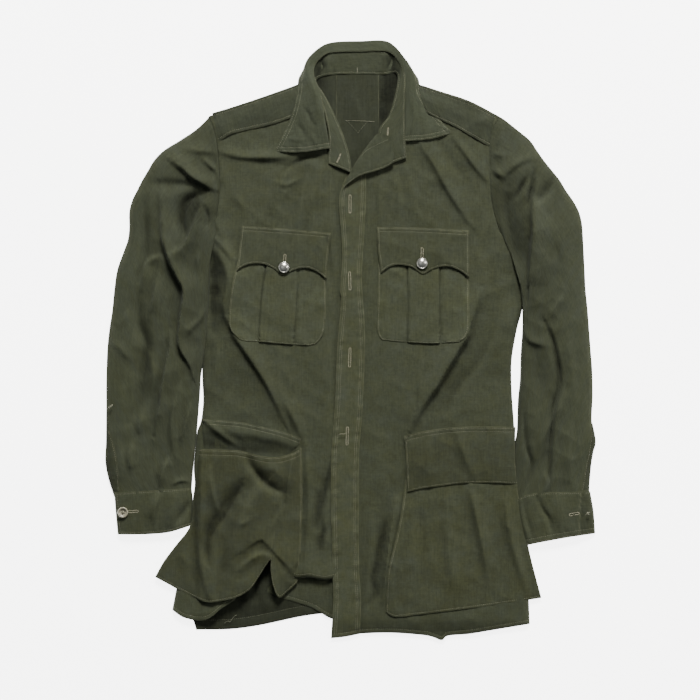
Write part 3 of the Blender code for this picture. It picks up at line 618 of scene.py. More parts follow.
def leftTop(x, y):
    z = creases(x, y, leftFront["creases"]) + crumple(x, y, 31, 1.3) + 1.5 * (1 + noise(x, y, 85, 32))
    z = z * (1 - 0.75 * seamDrop(x, y, leftFront["top"])) * (0.35 + 0.65 * ease((x - 12) / 30))
    return leftRest(x) + z - 1.2 * seamDrop(x, y, leftFront["top"], 14)


def leftRest(x):
    # it lies lower towards its side
    return leftFront["rest"] - 1.5 * ease((x - 160) / 70)


def turnDown(z, away, y, underarm):
    # below the underarm the side edge rolls down to the surface
    reach = 9.0  # mm
    below = ease((underarm - y) / 14)
    arc = np.sqrt(1 - (1 - np.clip(away / reach, 0, 1)) ** 2)
    return z + below * (wall + (z - wall) * arc - z)


def makeFronts():
    cut = rightFront
    grid = patch(cut["top"], cut["centre"], cut["hem"], cut["side"], 2.35, {"bottom": [5.5], "left": []})
    x, y, bottom = grid["x"], grid["y"], grid["bottom"]
    z = turnDown(rightTop(x, y), grid["left"], y, cut["underarm"])
    lip = ease((x + 95) / 20) * np.exp(-(bottom / 26) ** 2)  # the fold that hangs over the hem
    z += lip * 3.4 - 2.2 * lip * np.clip(1 - bottom / 7, 0, 1) ** 2
    z += 6.0 * ease((x + 222) / 26) * ease((-112 - x) / 20) * np.exp(-(bottom / 30) ** 2)
    # the part of it that shows below that fold
    under = patch([(284, 560), (300, 566), (353, 566)], [(353, 566), (353, 618)],
                  [(264, 591.5), (280, 597.5), (300, 603.5), (311, 607), (320, 612), (333, 618.5),
                   (353, 617)], [(284, 560), (277, 578), (264, 591.5)], 2.4, {"bottom": [5.5]})
    underZ = 2.6 + 0.5 * crumple(under["x"], under["y"], 15) + sewnEdges(under, 16)
    underTop = np.stack([under["x"], under["y"], underZ], -1)
    stitchLines.append((rowLine(under, underTop, "bottom", 5.5, 0)[8:], "seam"))
    # the part that shows below the fold is given painted shade from the fold over it (0.25 off its attribute)
    clothPiece("frontRight", grid, np.maximum(z, wall + 0.2), cloth["body"], 13, (0.27, 0.86),
               ["front_right"], area=0.205, sewnIn=("left",), shadePatches=cut["shadePatches"],
               extra=[(underTop, underTop[..., :2], wearOf(under) - 0.25)])

    cut = leftFront
    grid = patch(cut["top"], cut["side"], cut["hem"], cut["centre"], 2.4, {"bottom": [5.5], "right": []})
    z = turnDown(leftTop(grid["x"], grid["y"]), grid["right"], grid["y"], cut["underarm"])
    z -= (z - wall) * 0.55 * ease((-404 - grid["y"]) / 24)  # past the back's hem it sinks to the surface
    z -= 0.6 * ease((24 - grid["x"]) / 8)  # under the band
    clothPiece("frontLeft", grid, z, cloth["body"], 33, (0.31, 0.86), ["front_left"],
               area=0.24, sewnIn=("right",))


def makeBack():
    table = {
        "top": [(209, 116.5), (252, 101), (282, 90.5), (309, 80), (322, 74), (345, 71), (378, 71),
                (394, 71.5), (404, 78), (440, 92), (499, 117)],
        "left": [(209, 116.5), (218, 145), (219, 200), (212, 232), (214, 300), (211, 380), (206, 450),
                 (200, 530), (190, 600), (196, 630)],
        "right": [(499, 117), (490, 165), (497, 230), (520, 276), (512, 330), (508, 400), (511, 500),
                  (524, 600), (526, 614)],
        "bottom": [(196, 630), (230, 629.5), (260, 625.5), (300, 617), (325, 614), (334, 618), (400, 612),
                   (526, 614)],
        "ridges": [
            ([(247, 575), (248, 592), (245, 612)], 4.4, 5, 4),
            ([(262, 570), (262, 590), (266, 607)], 5.0, 6, 4),
            ([(226, 606), (221, 615), (214, 624)], 1.8, 4, 4),
            ([(205, 590), (240, 604), (290, 604)], 1.4, 6, 5),
            ([(349, 92), (361, 118), (369, 150)], 1.6, 6, 7),
            ([(330, 100), (338, 130), (346, 155)], 1.2, 5, 4),
        ],
        # painted shade patches: inside the neck and in the turned-up hem
        "shadePatches": [((320, 82), 13, 1.3), ((327, 98), 9, 0.8), ((392, 78), 15, 2.0), ((387, 96), 14, 1.9),
                   ((382, 114), 11, 1.7), ((375, 133), 9, 0.9), ((350, 158), 9, 0.9), ((352, 140), 8, 0.5),
                   ((225, 618), 16, 0.7), ((243, 600), 9, 0.9), ((288, 600), 14, 0.8), ((318, 610), 9, 0.9)],
    }
    grid = framed(table, 5.4, {"bottom": [14.5]})
    z = wall + 0.35 + creases(grid["x"], grid["y"], table["ridges"])
    z += 0.2 * (1 + crumple(grid["x"], grid["y"], 51, 0.6))
    clothPiece("back", grid, z, cloth["back"], 53, (0.46, 0.83), ["back"], area=0.33, shadePatches=table["shadePatches"])
    strip = patch([(336, 75), (379, 75)], [(379, 75), (379, 130), (378, 182)], [(337, 182), (378, 182)],
                  [(336, 75), (336, 130), (337, 182)], 2.6, {"left": [], "right": []})
    z = 2 * wall + 0.9 + creases(strip["x"], strip["y"], table["ridges"])
    z += 0.4 * crumple(strip["x"], strip["y"], 55)
    clothPiece("backPleat", strip, z, cloth["back"], 57, (0.062, 0.16), ["back_pleat"])
    # the triangle stitched inside the neck
    for line, kind in (([(346.5, 120.5), (360, 120.8), (374, 121.5)], "bright"),
                       ([(347.5, 121), (358, 132.5)], "seam"), ([(358, 132.5), (367, 122)], "seam")):
        laid = smooth(at(line), 6)
        height = 2 * wall + 1.35 + creases(laid[:, 0], laid[:, 1], table["ridges"])
        stitchLines.append((np.column_stack([laid, height]), kind))


def makeBand():
    cut = {
        "left": [(346, 177), (341, 190), (339, 205), (341, 235), (342, 262), (340, 290), (341, 302),
                 (337, 350), (335, 400), (333, 430), (331, 462), (331, 500), (332, 550), (333, 600),
                 (331, 638.5)],
        "right": [(366, 170), (366, 200), (364, 240), (362, 280), (365, 330), (364, 380), (362, 420),
                  (359, 460), (359, 560), (361, 600), (360, 634)],
        "rows": {"left": [4.6, 7.4], "right": [4.4, 7.0], "bottom": [6.0]},
    }
    grid = patch([(346, 177), (356, 173), (366, 170)], cut["right"],
                 [(331, 638.5), (345, 637), (360, 634)], cut["left"], 2.3, cut["rows"])
    z = leftTop(grid["x"], grid["y"]) + 1.3
    middle = grid["left"] / (grid["left"] + grid["right"])
    z += 0.8 * np.sin(np.pi * middle) * noise(grid["top"], 0 * middle, 38, 71)
    z -= (z - wall) * 0.4 * ease((-404 - grid["y"]) / 24)
    clothPiece("buttonholeBand", grid, z, cloth["band"], 73, (0.042, 0.68), ["buttonhole_band"],
               puckers=0.4)
    return grid


def makeTurnedEnd():
    # the band's top end, turned back over the front with the corner of the neck
    grid = patch([(371, 141), (378.5, 134), (391, 137)], [(391, 137), (393, 150), (393.5, 163)],
                 [(343, 188), (352, 181), (361, 175.5), (372, 172.5), (386, 167.5), (393.5, 163)],
                 [(371, 141), (362, 153), (355, 164), (349.5, 174), (343, 188)], 1.9,
                 {"bottom": [2.6], "left": []})
    z = leftTop(grid["x"],
                grid["y"]) + 4.2 + 2.4 * ease(grid["left"] / 16) + 1.2 * ease((grid["y"] - 235) / 40)
    z += 0.5 * crumple(grid["x"], grid["y"], 81, 0.8)
    clothPiece("bandTurnedEnd", grid, z, cloth["inside"], 83, (0.045, 0.06), ["band_turned_end"], area=0.0021,
               puckers=0.4)
    seam = smooth(at([(387, 140.5), (377, 145), (367, 150.5), (361, 157)]), 6)
    stitchLines.append((np.array([[x, y, nearestHeight(grid, x, y)] for x, y in seam]), "seam"))


chestPockets = {
    "right": {
        "outline": ([(237.5, 262), (280, 266), (326, 270)],
                    [(326, 270), (326, 300), (325, 326), (321, 338), (315, 344.5)],
                    [(236, 336), (243, 340.5), (262, 342), (290, 344.5), (306, 345.5), (315, 344.5)],
                    [(237.5, 262), (231.5, 290), (229, 318), (230.5, 329), (236, 336)]),
        "pleats": ([(267, 255), (266, 268), (262, 300), (259, 344)],
                   [(298, 255), (297, 272), (295.5, 300), (293, 347)]),
        "flap": ([(242, 226), (286, 229), (331, 233)], [(331, 233), (328.5, 256), (326.5, 279)],
                 [(237, 270.5), (245, 265.5), (255, 263.5), (265, 264.5), (275, 269.5), (282, 275),
                  (290, 272), (299, 268.5), (309, 268.5), (318, 272.5),
                  (326.5, 279)], [(242, 226), (239.5, 248), (237, 270.5)]),
    },
    "left": {
        "outline": ([(378, 264), (423, 266), (469, 268)],
                    [(469, 268), (469, 300), (469, 325), (466, 336), (459, 342)],
                    [(382, 340), (402, 342), (432, 343.5), (459, 342)],
                    [(378, 264), (377.5, 300), (377, 326), (378.5, 335), (382, 340)]),
        "pleats": ([(408, 255), (408, 268), (408.5, 300), (407.5, 344)],
                   [(439, 255), (439, 268), (438.5, 300), (439.5, 346)]),
        "flap": ([(377, 227), (423, 228), (469, 230.5)], [(469, 230.5), (469, 254), (469, 277.5)],
                 [(381, 272.5), (390, 266.5), (400, 265), (412, 267.5), (422.5, 274), (431, 270), (440, 267),
                  (450, 267), (460, 271), (469, 277.5)], [(377, 227), (378, 250), (381, 272.5)]),
    },
}


def makeChestPocket(side, top, seed):
    cut = chestPockets[side]
    grid = patch(*cut["outline"], 1.8, {"left": [2.4], "right": [2.4], "bottom": [2.4]})
    x, y = grid["x"], grid["y"]
    z = top(x, y) + layer
    edges = [walk(smooth(at(line)), np.linspace(0, 1, 40)) for line in cut["pleats"]]
    lines = [np.interp(-y, -line[:, 1], line[:, 0]) for line in edges]  # x of each pleat fold at each height
    inside = ease((x - lines[0]) / 1.2 + 0.5) * ease((lines[1] - x) / 1.2 + 0.5)
    z += 1.3 * inside
    for line in lines:
        z -= 1.5 * np.exp(-((x - line) / 2.6) ** 2) * (1 - inside)
    z += 0.55 * crumple(x, y, seed + 5)
    clothPiece("chestPocket" + side.title(), grid, z, cloth["pocket"], seed, (0.137, 0.122),
               ["chest_pocket_" + side], area=0.0155)

    grid = patch(*cut["flap"], 2.0, {"top": [2.0, 6.4], "left": [2.6], "right": [2.6], "bottom": [2.6]})
    x, y = grid["x"], grid["y"]
    z = top(x, y) + (2 * layer + 1.2) + 0.8 * ease(grid["top"] / 30) + 0.3 * crumple(x, y, seed + 15)
    clothPiece("chestFlap" + side.title(), grid, z, cloth["flap"], seed + 10, (0.137, 0.07),
               ["chest_flap_" + side], area=0.0078, puckers=0.35)
    return grid


def makeStraps():
    # sewn in at the armhole, with their other ends under the collar
    right = ([(212, 113), (232, 107), (262, 97), (303, 82.5)], [(303, 82.5), (300, 98), (296, 116)],
             [(219, 141.5), (232, 134), (250, 129.5), (272, 124.5), (296, 116)],
             [(212, 113), (216, 127), (219, 141.5)])
    left = ([(418, 84), (444, 93), (470, 102), (495.5, 115)], [(495.5, 115), (491.5, 130), (489, 146.5)],
            [(428, 114), (440, 120), (456, 127.5), (473, 137.5), (489, 146.5)],
            [(418, 84), (422, 100), (428, 114)])
    for name, node, outline, top, seed, rest in (
        ("shoulderStrapRight", "shoulder_strap_right", right, rightTop, 141, "frontRight"),
        ("shoulderStrapLeft", "shoulder_strap_left", left, leftTop, 151, "frontLeft"),
    ):
        grid = patch(*outline, 2.0, {"top": [4.0], "bottom": [4.2]})
        x, y = grid["x"], grid["y"]
        armhole = grid["left"] if name.endswith("Right") else grid["right"]
        z = top(x, y) + 0.3 + (layer + 0.3) * ease(armhole / 9) + 0.4 * crumple(x, y, seed + 3)
        clothPiece(name, grid, z, cloth["strap"], seed, (0.14, 0.045), [node], puckers=0.45,
                   grain="piece", area=0.0052)


# the lower pockets: the wearer's right one gapes over its tucked-in flap, the left one hangs buttoned
lowerPockets = {
    "gaping": {
        # painted shade along its deep crease and in its gaping mouth
        "shadePatches": [((238, 492), 6, 0.6), ((231, 504), 8, 0.8), ((223, 517), 8, 0.9), ((214, 531), 8, 0.8),
                   ((208, 547), 8, 0.6), ((262, 470), 12, 0.3), ((275, 480), 10, 0.3)],
        "top": [(200, 449), (222, 449.5), (240, 450.5), (260, 455.5), (276, 457), (290, 454), (299, 450)],
        "right": [(299, 450), (300.5, 480), (300.5, 520), (299.5, 555), (297, 583)],
        "bottom": [(155, 577), (168, 584), (181, 591), (205, 601.5), (222, 600.5), (238, 596.5), (250, 589),
                   (258, 578), (265, 567), (271, 559.5), (271, 572), (273.5, 586), (279, 597.5), (287, 592),
                   (297, 583)],
        "left": [(200, 449), (197.5, 470), (194.5, 500), (190, 526), (176, 545), (164, 561), (155, 577)],
        "creases": [
            ([(199, 446), (197, 490), (198, 530), (200, 562), (208, 594)], 7.0, 17, 3.0),
            ([(241, 486), (234.5, 497), (228, 507), (220.5, 519), (212, 531), (207.5, 545), (207, 564)],
             -10.0, 4, 10),
            ([(264, 486), (247, 508), (236, 540), (231, 566), (224, 588)], 11.5, 20, 10),
            ([(210.5, 468), (212, 485), (215, 500), (218, 512)], 5.0, 3, 8),
            ([(246, 455), (254, 470), (266, 484), (283, 493)], -6.6, 8, 5),
            ([(293, 456), (289.5, 474), (286, 500)], 4.6, 5, 3.0),
            ([(262, 466), (275, 470), (284, 480)], 2.2, 9, 9),
            ([(243, 550), (251, 544), (261, 539), (268, 544), (277, 554), (288, 566), (297, 579)],
             3.4, 20, 3.2),
            ([(238, 571), (250, 560), (262, 554), (272, 558)], 4.5, 5, 8),
            ([(282, 508), (276, 520), (270, 532)], 2.2, 6, 4),
            ([(238, 524), (246, 522), (252, 518)], 1.6, 4, 3),
            ([(170, 552), (186, 560), (196, 575)], 2.0, 8, 8),
            ([(190, 528), (184, 550), (186, 574), (194, 592)], 2.2, 6, 5),
            ([(216, 555), (214, 575), (209, 592)], 2.2, 7, 5),
        ],
    },
    "flapInside": {
        # painted shade in the hollow behind its folded corner
        "shadePatches": [((213, 444), 7, 1.0), ((204, 441), 7, 1.0), ((222, 446), 5, 0.6)],
        "top": [(202, 419), (222, 420.5), (242, 422.5), (266, 427.5), (285, 432.5), (301, 438.5)],
        "right": [(301, 438.5), (298, 445), (288, 456), (284, 466)],
        "bottom": [(206, 480), (245, 480), (284, 466)],
        "left": [(202, 419), (203, 440), (206, 480)],
    },
    "closed": {
        "top": [(405, 480), (440, 478), (480, 476), (516, 476)],
        "right": [(516, 476), (520, 505), (526, 535), (532, 562), (541.5, 598)],
        "bottom": [(386, 612.5), (395, 617), (415, 615), (440, 612), (480, 607), (512, 602.5), (541.5, 598)],
        "left": [(405, 480), (402.5, 505), (397.5, 532), (391.5, 556), (387.5, 575), (386, 612.5)],
        "creases": [
            ([(470, 490), (476, 516), (482, 545), (487, 575)], 6.0, 14, 4),
            ([(420, 512), (424, 545), (421, 580)], -1.8, 7, 7),
            ([(399, 500), (397, 530), (391, 565), (389, 600)], 3.6, 10, 3.5),
            ([(506, 500), (510, 535), (520, 570), (528, 598)], 4.6, 9, 5),
            ([(446, 500), (448, 540), (455, 600)], 3.0, 12, 6),
            ([(512, 500), (505, 520), (514, 535)], 1.6, 4, 4),
        ],
    },
    "closedFlap": {
        "top": [(404, 436), (422, 431.5), (446, 428), (472, 426.5), (515.5, 427)],
        "right": [(515.5, 427), (515, 455), (516.5, 484)],
        "bottom": [(407, 492), (422, 488.5), (440, 486), (462, 483.5), (490, 483), (516.5, 484)],
        "left": [(404, 436), (406, 460), (407, 492)],
        "creases": [
            ([(456, 430), (464, 455), (474, 478)], 3.4, 10, 6),
            ([(432, 434), (428, 460), (430, 486)], 2.0, 6, 10),
            ([(502, 432), (497, 455), (500, 480)], 1.4, 8, 8),
        ],
    },
}


def makeGapingPocket():
    cut = lowerPockets["flapInside"]
    grid = framed(cut, 2.2, {"top": [2.0, 6.6], "right": []})
    x, y = grid["x"], grid["y"]
    z = rightTop(x, y) + layer + 0.3 * crumple(x, y, 165) - 1.2 * ease((grid["top"] - 12) / 12)
    # its outer corner folds over, with a light edge across the hollow behind it
    z += 3.2 * np.exp(-((grid["left"] - grid["top"] * 1.25 - 2) / 7) ** 2) * ease((38 - grid["top"]) / 14)
    clothPiece("lowerFlapRight", grid, z, cloth["flapInside"], 163, (0.15, 0.09), ["lower_flap_right"],
               area=0.0095, shadePatches=cut["shadePatches"])

    strip = patch([(296, 449), (302, 448)], [(302, 448), (302.5, 500), (301, 545), (300, 577)],
                  [(292, 578), (300, 577)],
                  [(296, 449), (296, 500), (294, 545), (292, 578)], 2.0, {"right": [2.0]})
    z = rightTop(strip["x"], strip["y"]) + 1.0
    clothPiece("lowerPocketGusset", strip, z, cloth["lowerPocket"], 173, (0.02, 0.2), ["lower_pocket_gusset"],
               area=0.0022)

    cut = lowerPockets["gaping"]
    grid = framed(cut, 1.95, {"top": [2.2, 8.0], "right": [], "bottom": [3.0], "left": []})
    x, y, bottom = grid["x"], grid["y"], grid["bottom"]
    base = rightFront["rest"] + 0.5 * (rightTop(x, y) - rightFront["rest"])
    z = base + 4.8 - 1.6 * np.exp(-(grid["right"] / 12) ** 2)
    z += creases(x, y, cut["creases"]) + 0.9 * crumple(x, y, 181)
    middle = np.sin(np.pi * np.clip((x + 218) / 145, 0, 1))
    z += 5.5 * middle * np.exp(-(grid["top"] / 60) ** 2)  # the mouth gapes
    z -= (z - 4.0) * 0.55 * ease((-214 - x) / 10)  # the side layer lies low
    z -= (z - 2.2) * 0.5 * ease((-240 - x) / 36)
    peak = np.exp(-((x + 114) / 26) ** 2)
    z += 7.0 * peak * np.exp(-(bottom / 34) ** 2)  # the arch of the hem
    corner = ease((x + 114) / 13) * np.clip(1 - bottom / 34, 0, 1)
    z -= 5.5 * corner  # past the arch the corner hangs down
    z += 4.5 * ease((x + 222) / 26) * ease((-125 - x) / 24) * np.exp(-(bottom / 34) ** 2)
    z = np.maximum(z, np.minimum(rightTop(x, y) + 0.9, 6.5))  # it stays above the front
    clothPiece("lowerPocketRight", grid, np.maximum(z, 2.3), cloth["gapingPocket"], 183, (0.2, 0.225),
               ["lower_pocket_right"], area=0.031, shadePatches=cut["shadePatches"])


def underClosedPocket(x, y):
    # the front under this pocket and its flap, with its creases evened out
    return np.maximum(leftRest(x) + 0.8 * (leftTop(np.minimum(x, 235), y) - leftFront["rest"]), 4.6)


def makeClosedPocket():
    cut = lowerPockets["closed"]
    grid = framed(cut, 2.3, {"right": [], "bottom": [3.0], "left": [2.4]})
    x, y = grid["x"], grid["y"]
    z = underClosedPocket(x, y) + 1.9 + creases(x, y, cut["creases"]) + 0.6 * crumple(x, y, 191)
    z -= (z - 2.6) * 0.45 * ease((x - 236) / 30)
    clothPiece("lowerPocketLeft", grid, z, cloth["lowerPocket"], 193, (0.205, 0.255), ["lower_pocket_left"],
               area=0.046)

    cut = lowerPockets["closedFlap"]
    grid = framed(cut, 2.1, {"top": [2.2, 7.0], "right": [], "bottom": [2.4], "left": [2.4]})
    x, y = grid["x"], grid["y"]
    z = underClosedPocket(x, y) + 2 * layer + 1.4 * ease(grid["top"] / 25)
    z += creases(x, y, cut["creases"]) + 0.4 * crumple(x, y, 201)
    z -= (z - 3.6) * 0.25 * ease((x - 230) / 12)
    clothPiece("lowerFlapLeft", grid, z, cloth["lowerFlap"], 203, (0.168, 0.085), ["lower_flap_left"])


sleeveHeights = [(0, 4.6), (0.05, 8), (0.12, 11.5), (0.3, 12.5), (0.6, 11), (0.85, 10), (0.96, 9), (1, 8.4)]
sleeves = {
    "right": {
        "nodes": ["sleeve_right", "sleeve_right_upper"], "flat": (0.33, 0.60), "area": 0.14,
        # painted shade in the armpit and the hollows by it
        "shadePatches": [((192, 211), 17, 1.1), ((196, 200), 12, 0.7), ((213, 212), 10, 0.7),
                   ((172, 186), 14, 0.3)],
        "armhole": [(209, 116), (214, 128), (217, 142), (219, 165), (220, 185), (219, 200), (216, 215),
                    (211, 222), (205, 230)],
        "outer": [(209, 116), (206, 120), (195, 130), (180, 140), (164, 150), (154, 160), (148, 170),
                  (142, 180), (137, 190), (132, 200), (129, 212), (129, 228), (127.5, 240), (124, 250),
                  (117, 270), (114, 290), (112, 310), (109, 330), (107, 350), (106, 380), (106, 410),
                  (106, 440), (105, 460), (108, 478), (114, 497)],
        "inner": [(205, 230), (208, 237), (210, 245), (210, 262), (209, 300), (207, 330), (205, 352),
                  (201, 375), (200, 392), (197, 430), (193, 470), (191.3, 492)],
        "cuffSeam": [(114, 497), (150, 494.5), (191.3, 492)],
        "creases": [
            ([(165, 155), (171, 160), (177, 165), (184, 170), (190, 176), (199, 182), (208, 187),
              (215, 190)], 3.8, 13, 2.4),
            ([(181, 149), (190, 150), (200, 151.5), (219, 153)], 2.0, 8, 3.2),
            ([(203, 159), (210, 166), (216, 171), (219, 178)], 2.2, 5, 2.2),
            ([(139, 182), (160, 183), (180, 184), (203, 187)], -2.6, 5, 9),
            ([(203, 193), (194, 197), (187, 203), (183, 213), (182.5, 224), (185, 236)], -6.0, 5, 7),
            ([(202, 206), (197, 216), (192.5, 228), (186.5, 241), (180, 249), (172, 254)], 5.2, 15, 2.6),
            ([(205, 208), (208, 217), (207, 227)], -2.2, 3, 4),
            ([(143, 196), (145, 222), (145.5, 248), (143, 266)], -4.6, 8, 16),
            ([(161, 192), (162, 215), (163, 237), (166, 250), (169, 258), (173, 268), (178, 278), (182, 285),
              (183.5, 293), (183, 303), (181, 314), (180, 327), (179, 342), (182, 352), (187, 360),
              (191, 368), (194, 378)], 5.4, 17, 2.5),
            ([(161, 256), (151, 259.5), (146, 264), (144, 274), (142, 286)], 3.4, 8, 2.4),
            ([(158, 280), (155, 292), (153, 303), (150, 313)], 3.0, 8, 2.4),
            ([(139, 296), (139, 315), (140.5, 327), (144, 337), (146.5, 347), (145, 355), (144, 366),
              (142, 380), (140, 395), (137, 407), (130, 421)], -4.6, 8, 11),
            ([(171, 332), (170, 348), (167.5, 360), (165.5, 372), (163.5, 383), (161.5, 393), (160.5, 404),
              (158, 416), (155, 433)], 4.2, 12, 2.5),
            ([(207, 308), (200, 320), (193, 327), (187, 334)], 2.0, 3, 5),
            ([(199, 252), (198, 262), (197, 272)], 1.4, 4, 3),
            ([(181, 385), (177, 396), (174, 407), (172, 421), (172, 436), (174, 452)], 2.6, 8, 4),
            ([(191, 404), (187, 418), (184, 428), (181, 438)], 3.4, 7, 2.4),
            ([(142, 414), (140, 424), (139, 434)], 1.6, 6, 4),
            ([(133, 444), (130, 455), (131, 470)], 2.2, 7, 4),
            ([(169, 459), (163, 470), (160, 488)], 3.0, 8, 3),
            ([(174, 484), (180, 481), (186, 481), (192, 483)], 2.0, 4, 2.4),
            ([(107, 343), (118, 347), (128, 358)], 1.8, 6, 3.5),
            ([(128, 310), (125, 318), (120, 324)], 1.4, 5, 3),
            ([(150, 352), (153, 372), (152, 392)], 1.8, 8, 5),
            ([(116, 380), (120, 402), (118, 424)], 1.6, 10, 8),
            ([(118, 440), (121, 460), (119, 482)], 1.6, 6, 6),
        ],
    },
    "left": {
        "nodes": ["sleeve_left"], "flat": (0.31, 0.58), "area": 0.118,
        # painted shade near the armhole
        "shadePatches": [((509, 200), 22, 0.5), ((516, 236), 20, 0.7), ((547, 186), 11, 0.5)],
        "armhole": [(527, 279), (515, 256), (507, 241), (500, 232), (493, 210), (490, 190), (489, 165),
                    (489, 145), (492, 130), (499, 116)],
        "outer": [(499, 116), (506, 120.5), (518, 130), (530, 140), (537, 150), (544, 160), (552, 170),
                  (560, 180), (566, 190), (573, 200), (579, 211), (582, 222), (583, 232), (584, 250),
                  (585, 270), (586, 290), (588, 310), (589.5, 330), (591, 350), (592.5, 370), (593, 395),
                  (592, 420), (594.5, 432), (596, 441), (593.5, 452), (591.5, 465), (590, 478),
                  (589.5, 494.5)],
        "inner": [(527, 279), (526, 300), (524, 320), (521, 350), (520, 380), (518, 400), (517, 430),
                  (515, 445), (514, 480), (516, 503)],
        "cuffSeam": [(516, 503), (526, 498), (541, 495.5), (565, 495), (589.5, 494.5)],
        "creases": [
            ([(504, 121), (501, 131), (498, 145)], 3.0, 7, 2.2),
            ([(490, 167), (496, 173), (502, 177.5)], 2.8, 6, 2.4),
            ([(489, 152), (496, 155), (504, 156)], 1.8, 6, 3),
            ([(502, 180), (507, 173), (513, 167.5), (520, 163), (530, 159), (541, 161)], 2.6, 10, 2.8),
            ([(528, 177), (522, 187), (515.5, 199)], -3.8, 3.5, 4.5),
            ([(535, 170), (532, 188), (528, 204)], -4.6, 3, 4),
            ([(554, 168), (552, 181), (547, 191), (537, 202)], -5.4, 4.5, 10),
            ([(534, 196), (532, 215), (532.5, 231), (531, 248), (529.5, 265), (528.5, 286)], 6.6, 22, 2.2),
            ([(508, 190), (507, 212), (512, 238), (520, 266)], -4.2, 15, 8),
            ([(545, 322), (553, 341), (557, 358), (560, 376), (559, 390), (555.5, 404), (553, 421),
              (551, 441), (550, 461), (549, 492)], -4.4, 2.4, 7),
            ([(523, 410), (524.5, 430), (526.5, 448), (531, 463), (530, 476), (525.5, 492)], -2.6, 4, 3.4),
            ([(534, 342), (539, 378), (541, 412)], -2.4, 15, 13),
            ([(565, 396), (552, 420), (541, 446)], 2.0, 8, 6),
            ([(577, 205), (579, 235), (576, 262)], -1.8, 7, 8),
            ([(556, 185), (557, 200), (553, 216)], -1.8, 5, 6),
            ([(523, 330), (530, 341), (545, 346)], 1.8, 8, 4),
            ([(563, 296), (556, 306), (551, 318)], 1.8, 7, 4),
            ([(568, 340), (571, 366), (573, 394)], 1.6, 8, 8),
            ([(571, 430), (569, 455), (571, 485)], 1.8, 6, 9),
            ([(556, 245), (559, 262), (557, 280)], -1.2, 5, 5),
            ([(545, 474), (547, 484), (545, 493)], 1.6, 4, 4),
        ],
    },
}


def tubeSurfaces(grid, height, table, seed, flatness=3.4, rim=1.9, amount=1.0):
    # the top and the underside of a flattened tube, from one outline
    across = grid["left"] / (grid["left"] + grid["right"])
    crown = np.sqrt(np.clip(1 - np.abs(2 * across - 1) ** flatness, 0, 1))
    x, y = grid["x"], grid["y"]
    top = rim + (height - rim) * crown
    uneven = 1.5 * crumple(x, y, seed) + 1.2 * noise(x, y, 60, seed + 9)
    top += crown ** 2 * (2.0 * creases(x, y, table) + amount * uneven)
    under = rim * (1 - np.sqrt(np.clip(1 - np.abs(2 * across - 1) ** 8, 0, 1)))
    return np.maximum(top, rim * crown + 0.6), under


def makeTube(name, grid, top, under, material, wearAndShade):
    # the underside has every third column of the top
    columns = list(range(grid["x"].shape[1] - 2, 0, -3))
    upper = np.stack([grid["x"], grid["y"], top], -1)
    lower = np.stack([grid["x"], grid["y"], under], -1)[:, columns]
    surface = np.concatenate([upper, lower], axis=1)
    uv = np.stack([grid["left"], grid["top"]], -1)
    uv = np.concatenate([uv, uv[:, columns]], axis=1)
    wearAndShade = np.concatenate([wearAndShade, 0 * wearAndShade[:, columns]], axis=1)
    grid["surface"] = upper
    return giveWall(makeMesh(name, [surface], material, [uv], [wearAndShade], closedAcross=True))


def makeSleeve(side, panelTop, seed):
    cut = sleeves[side]
    first, second = ("outer", "inner") if side == "right" else ("inner", "outer")
    grid = patch(cut["armhole"], cut[second], cut["cuffSeam"], cut[first], 2.05,
                 {"left": [], "right": [], "top": []})
    shares, heights = zip(*sleeveHeights)  # along the sleeve, from the armhole to the cuff
    height = np.interp(grid["v"], shares, heights)
    top, under = tubeSurfaces(grid, height, cut["creases"], seed)
    seam = panelTop(grid["x"][0], grid["y"][0])  # at the armhole it starts just under the front's edge
    near = 1 - ease(grid["top"] / 22)
    top = top * (1 - near) + near * (seam[None, :] - 0.2 - 0.9 * np.exp(-((grid["top"] - 1.5) / 1.6) ** 2))
    patchy = 0.6 + 0.4 * noise(grid["top"], 0 * top, 14, seed)
    wearAndShade = 0.35 * np.exp(-(np.minimum(grid["left"], grid["right"]) / 5) ** 2) * patchy
    # the rubbed folded edges, less painted shade in the hollows and in the listed dark patches
    wearAndShade = paintShadePatches(wearAndShade - paintedHollowShade(top, 36, 5.0), grid, cut["shadePatches"])
    piece = makeTube("sleeve" + side.title(), grid, top, under, cloth["sleeve"], wearAndShade)
    finishPiece(piece, cut["nodes"], cut["flat"], cut["area"])
    return grid


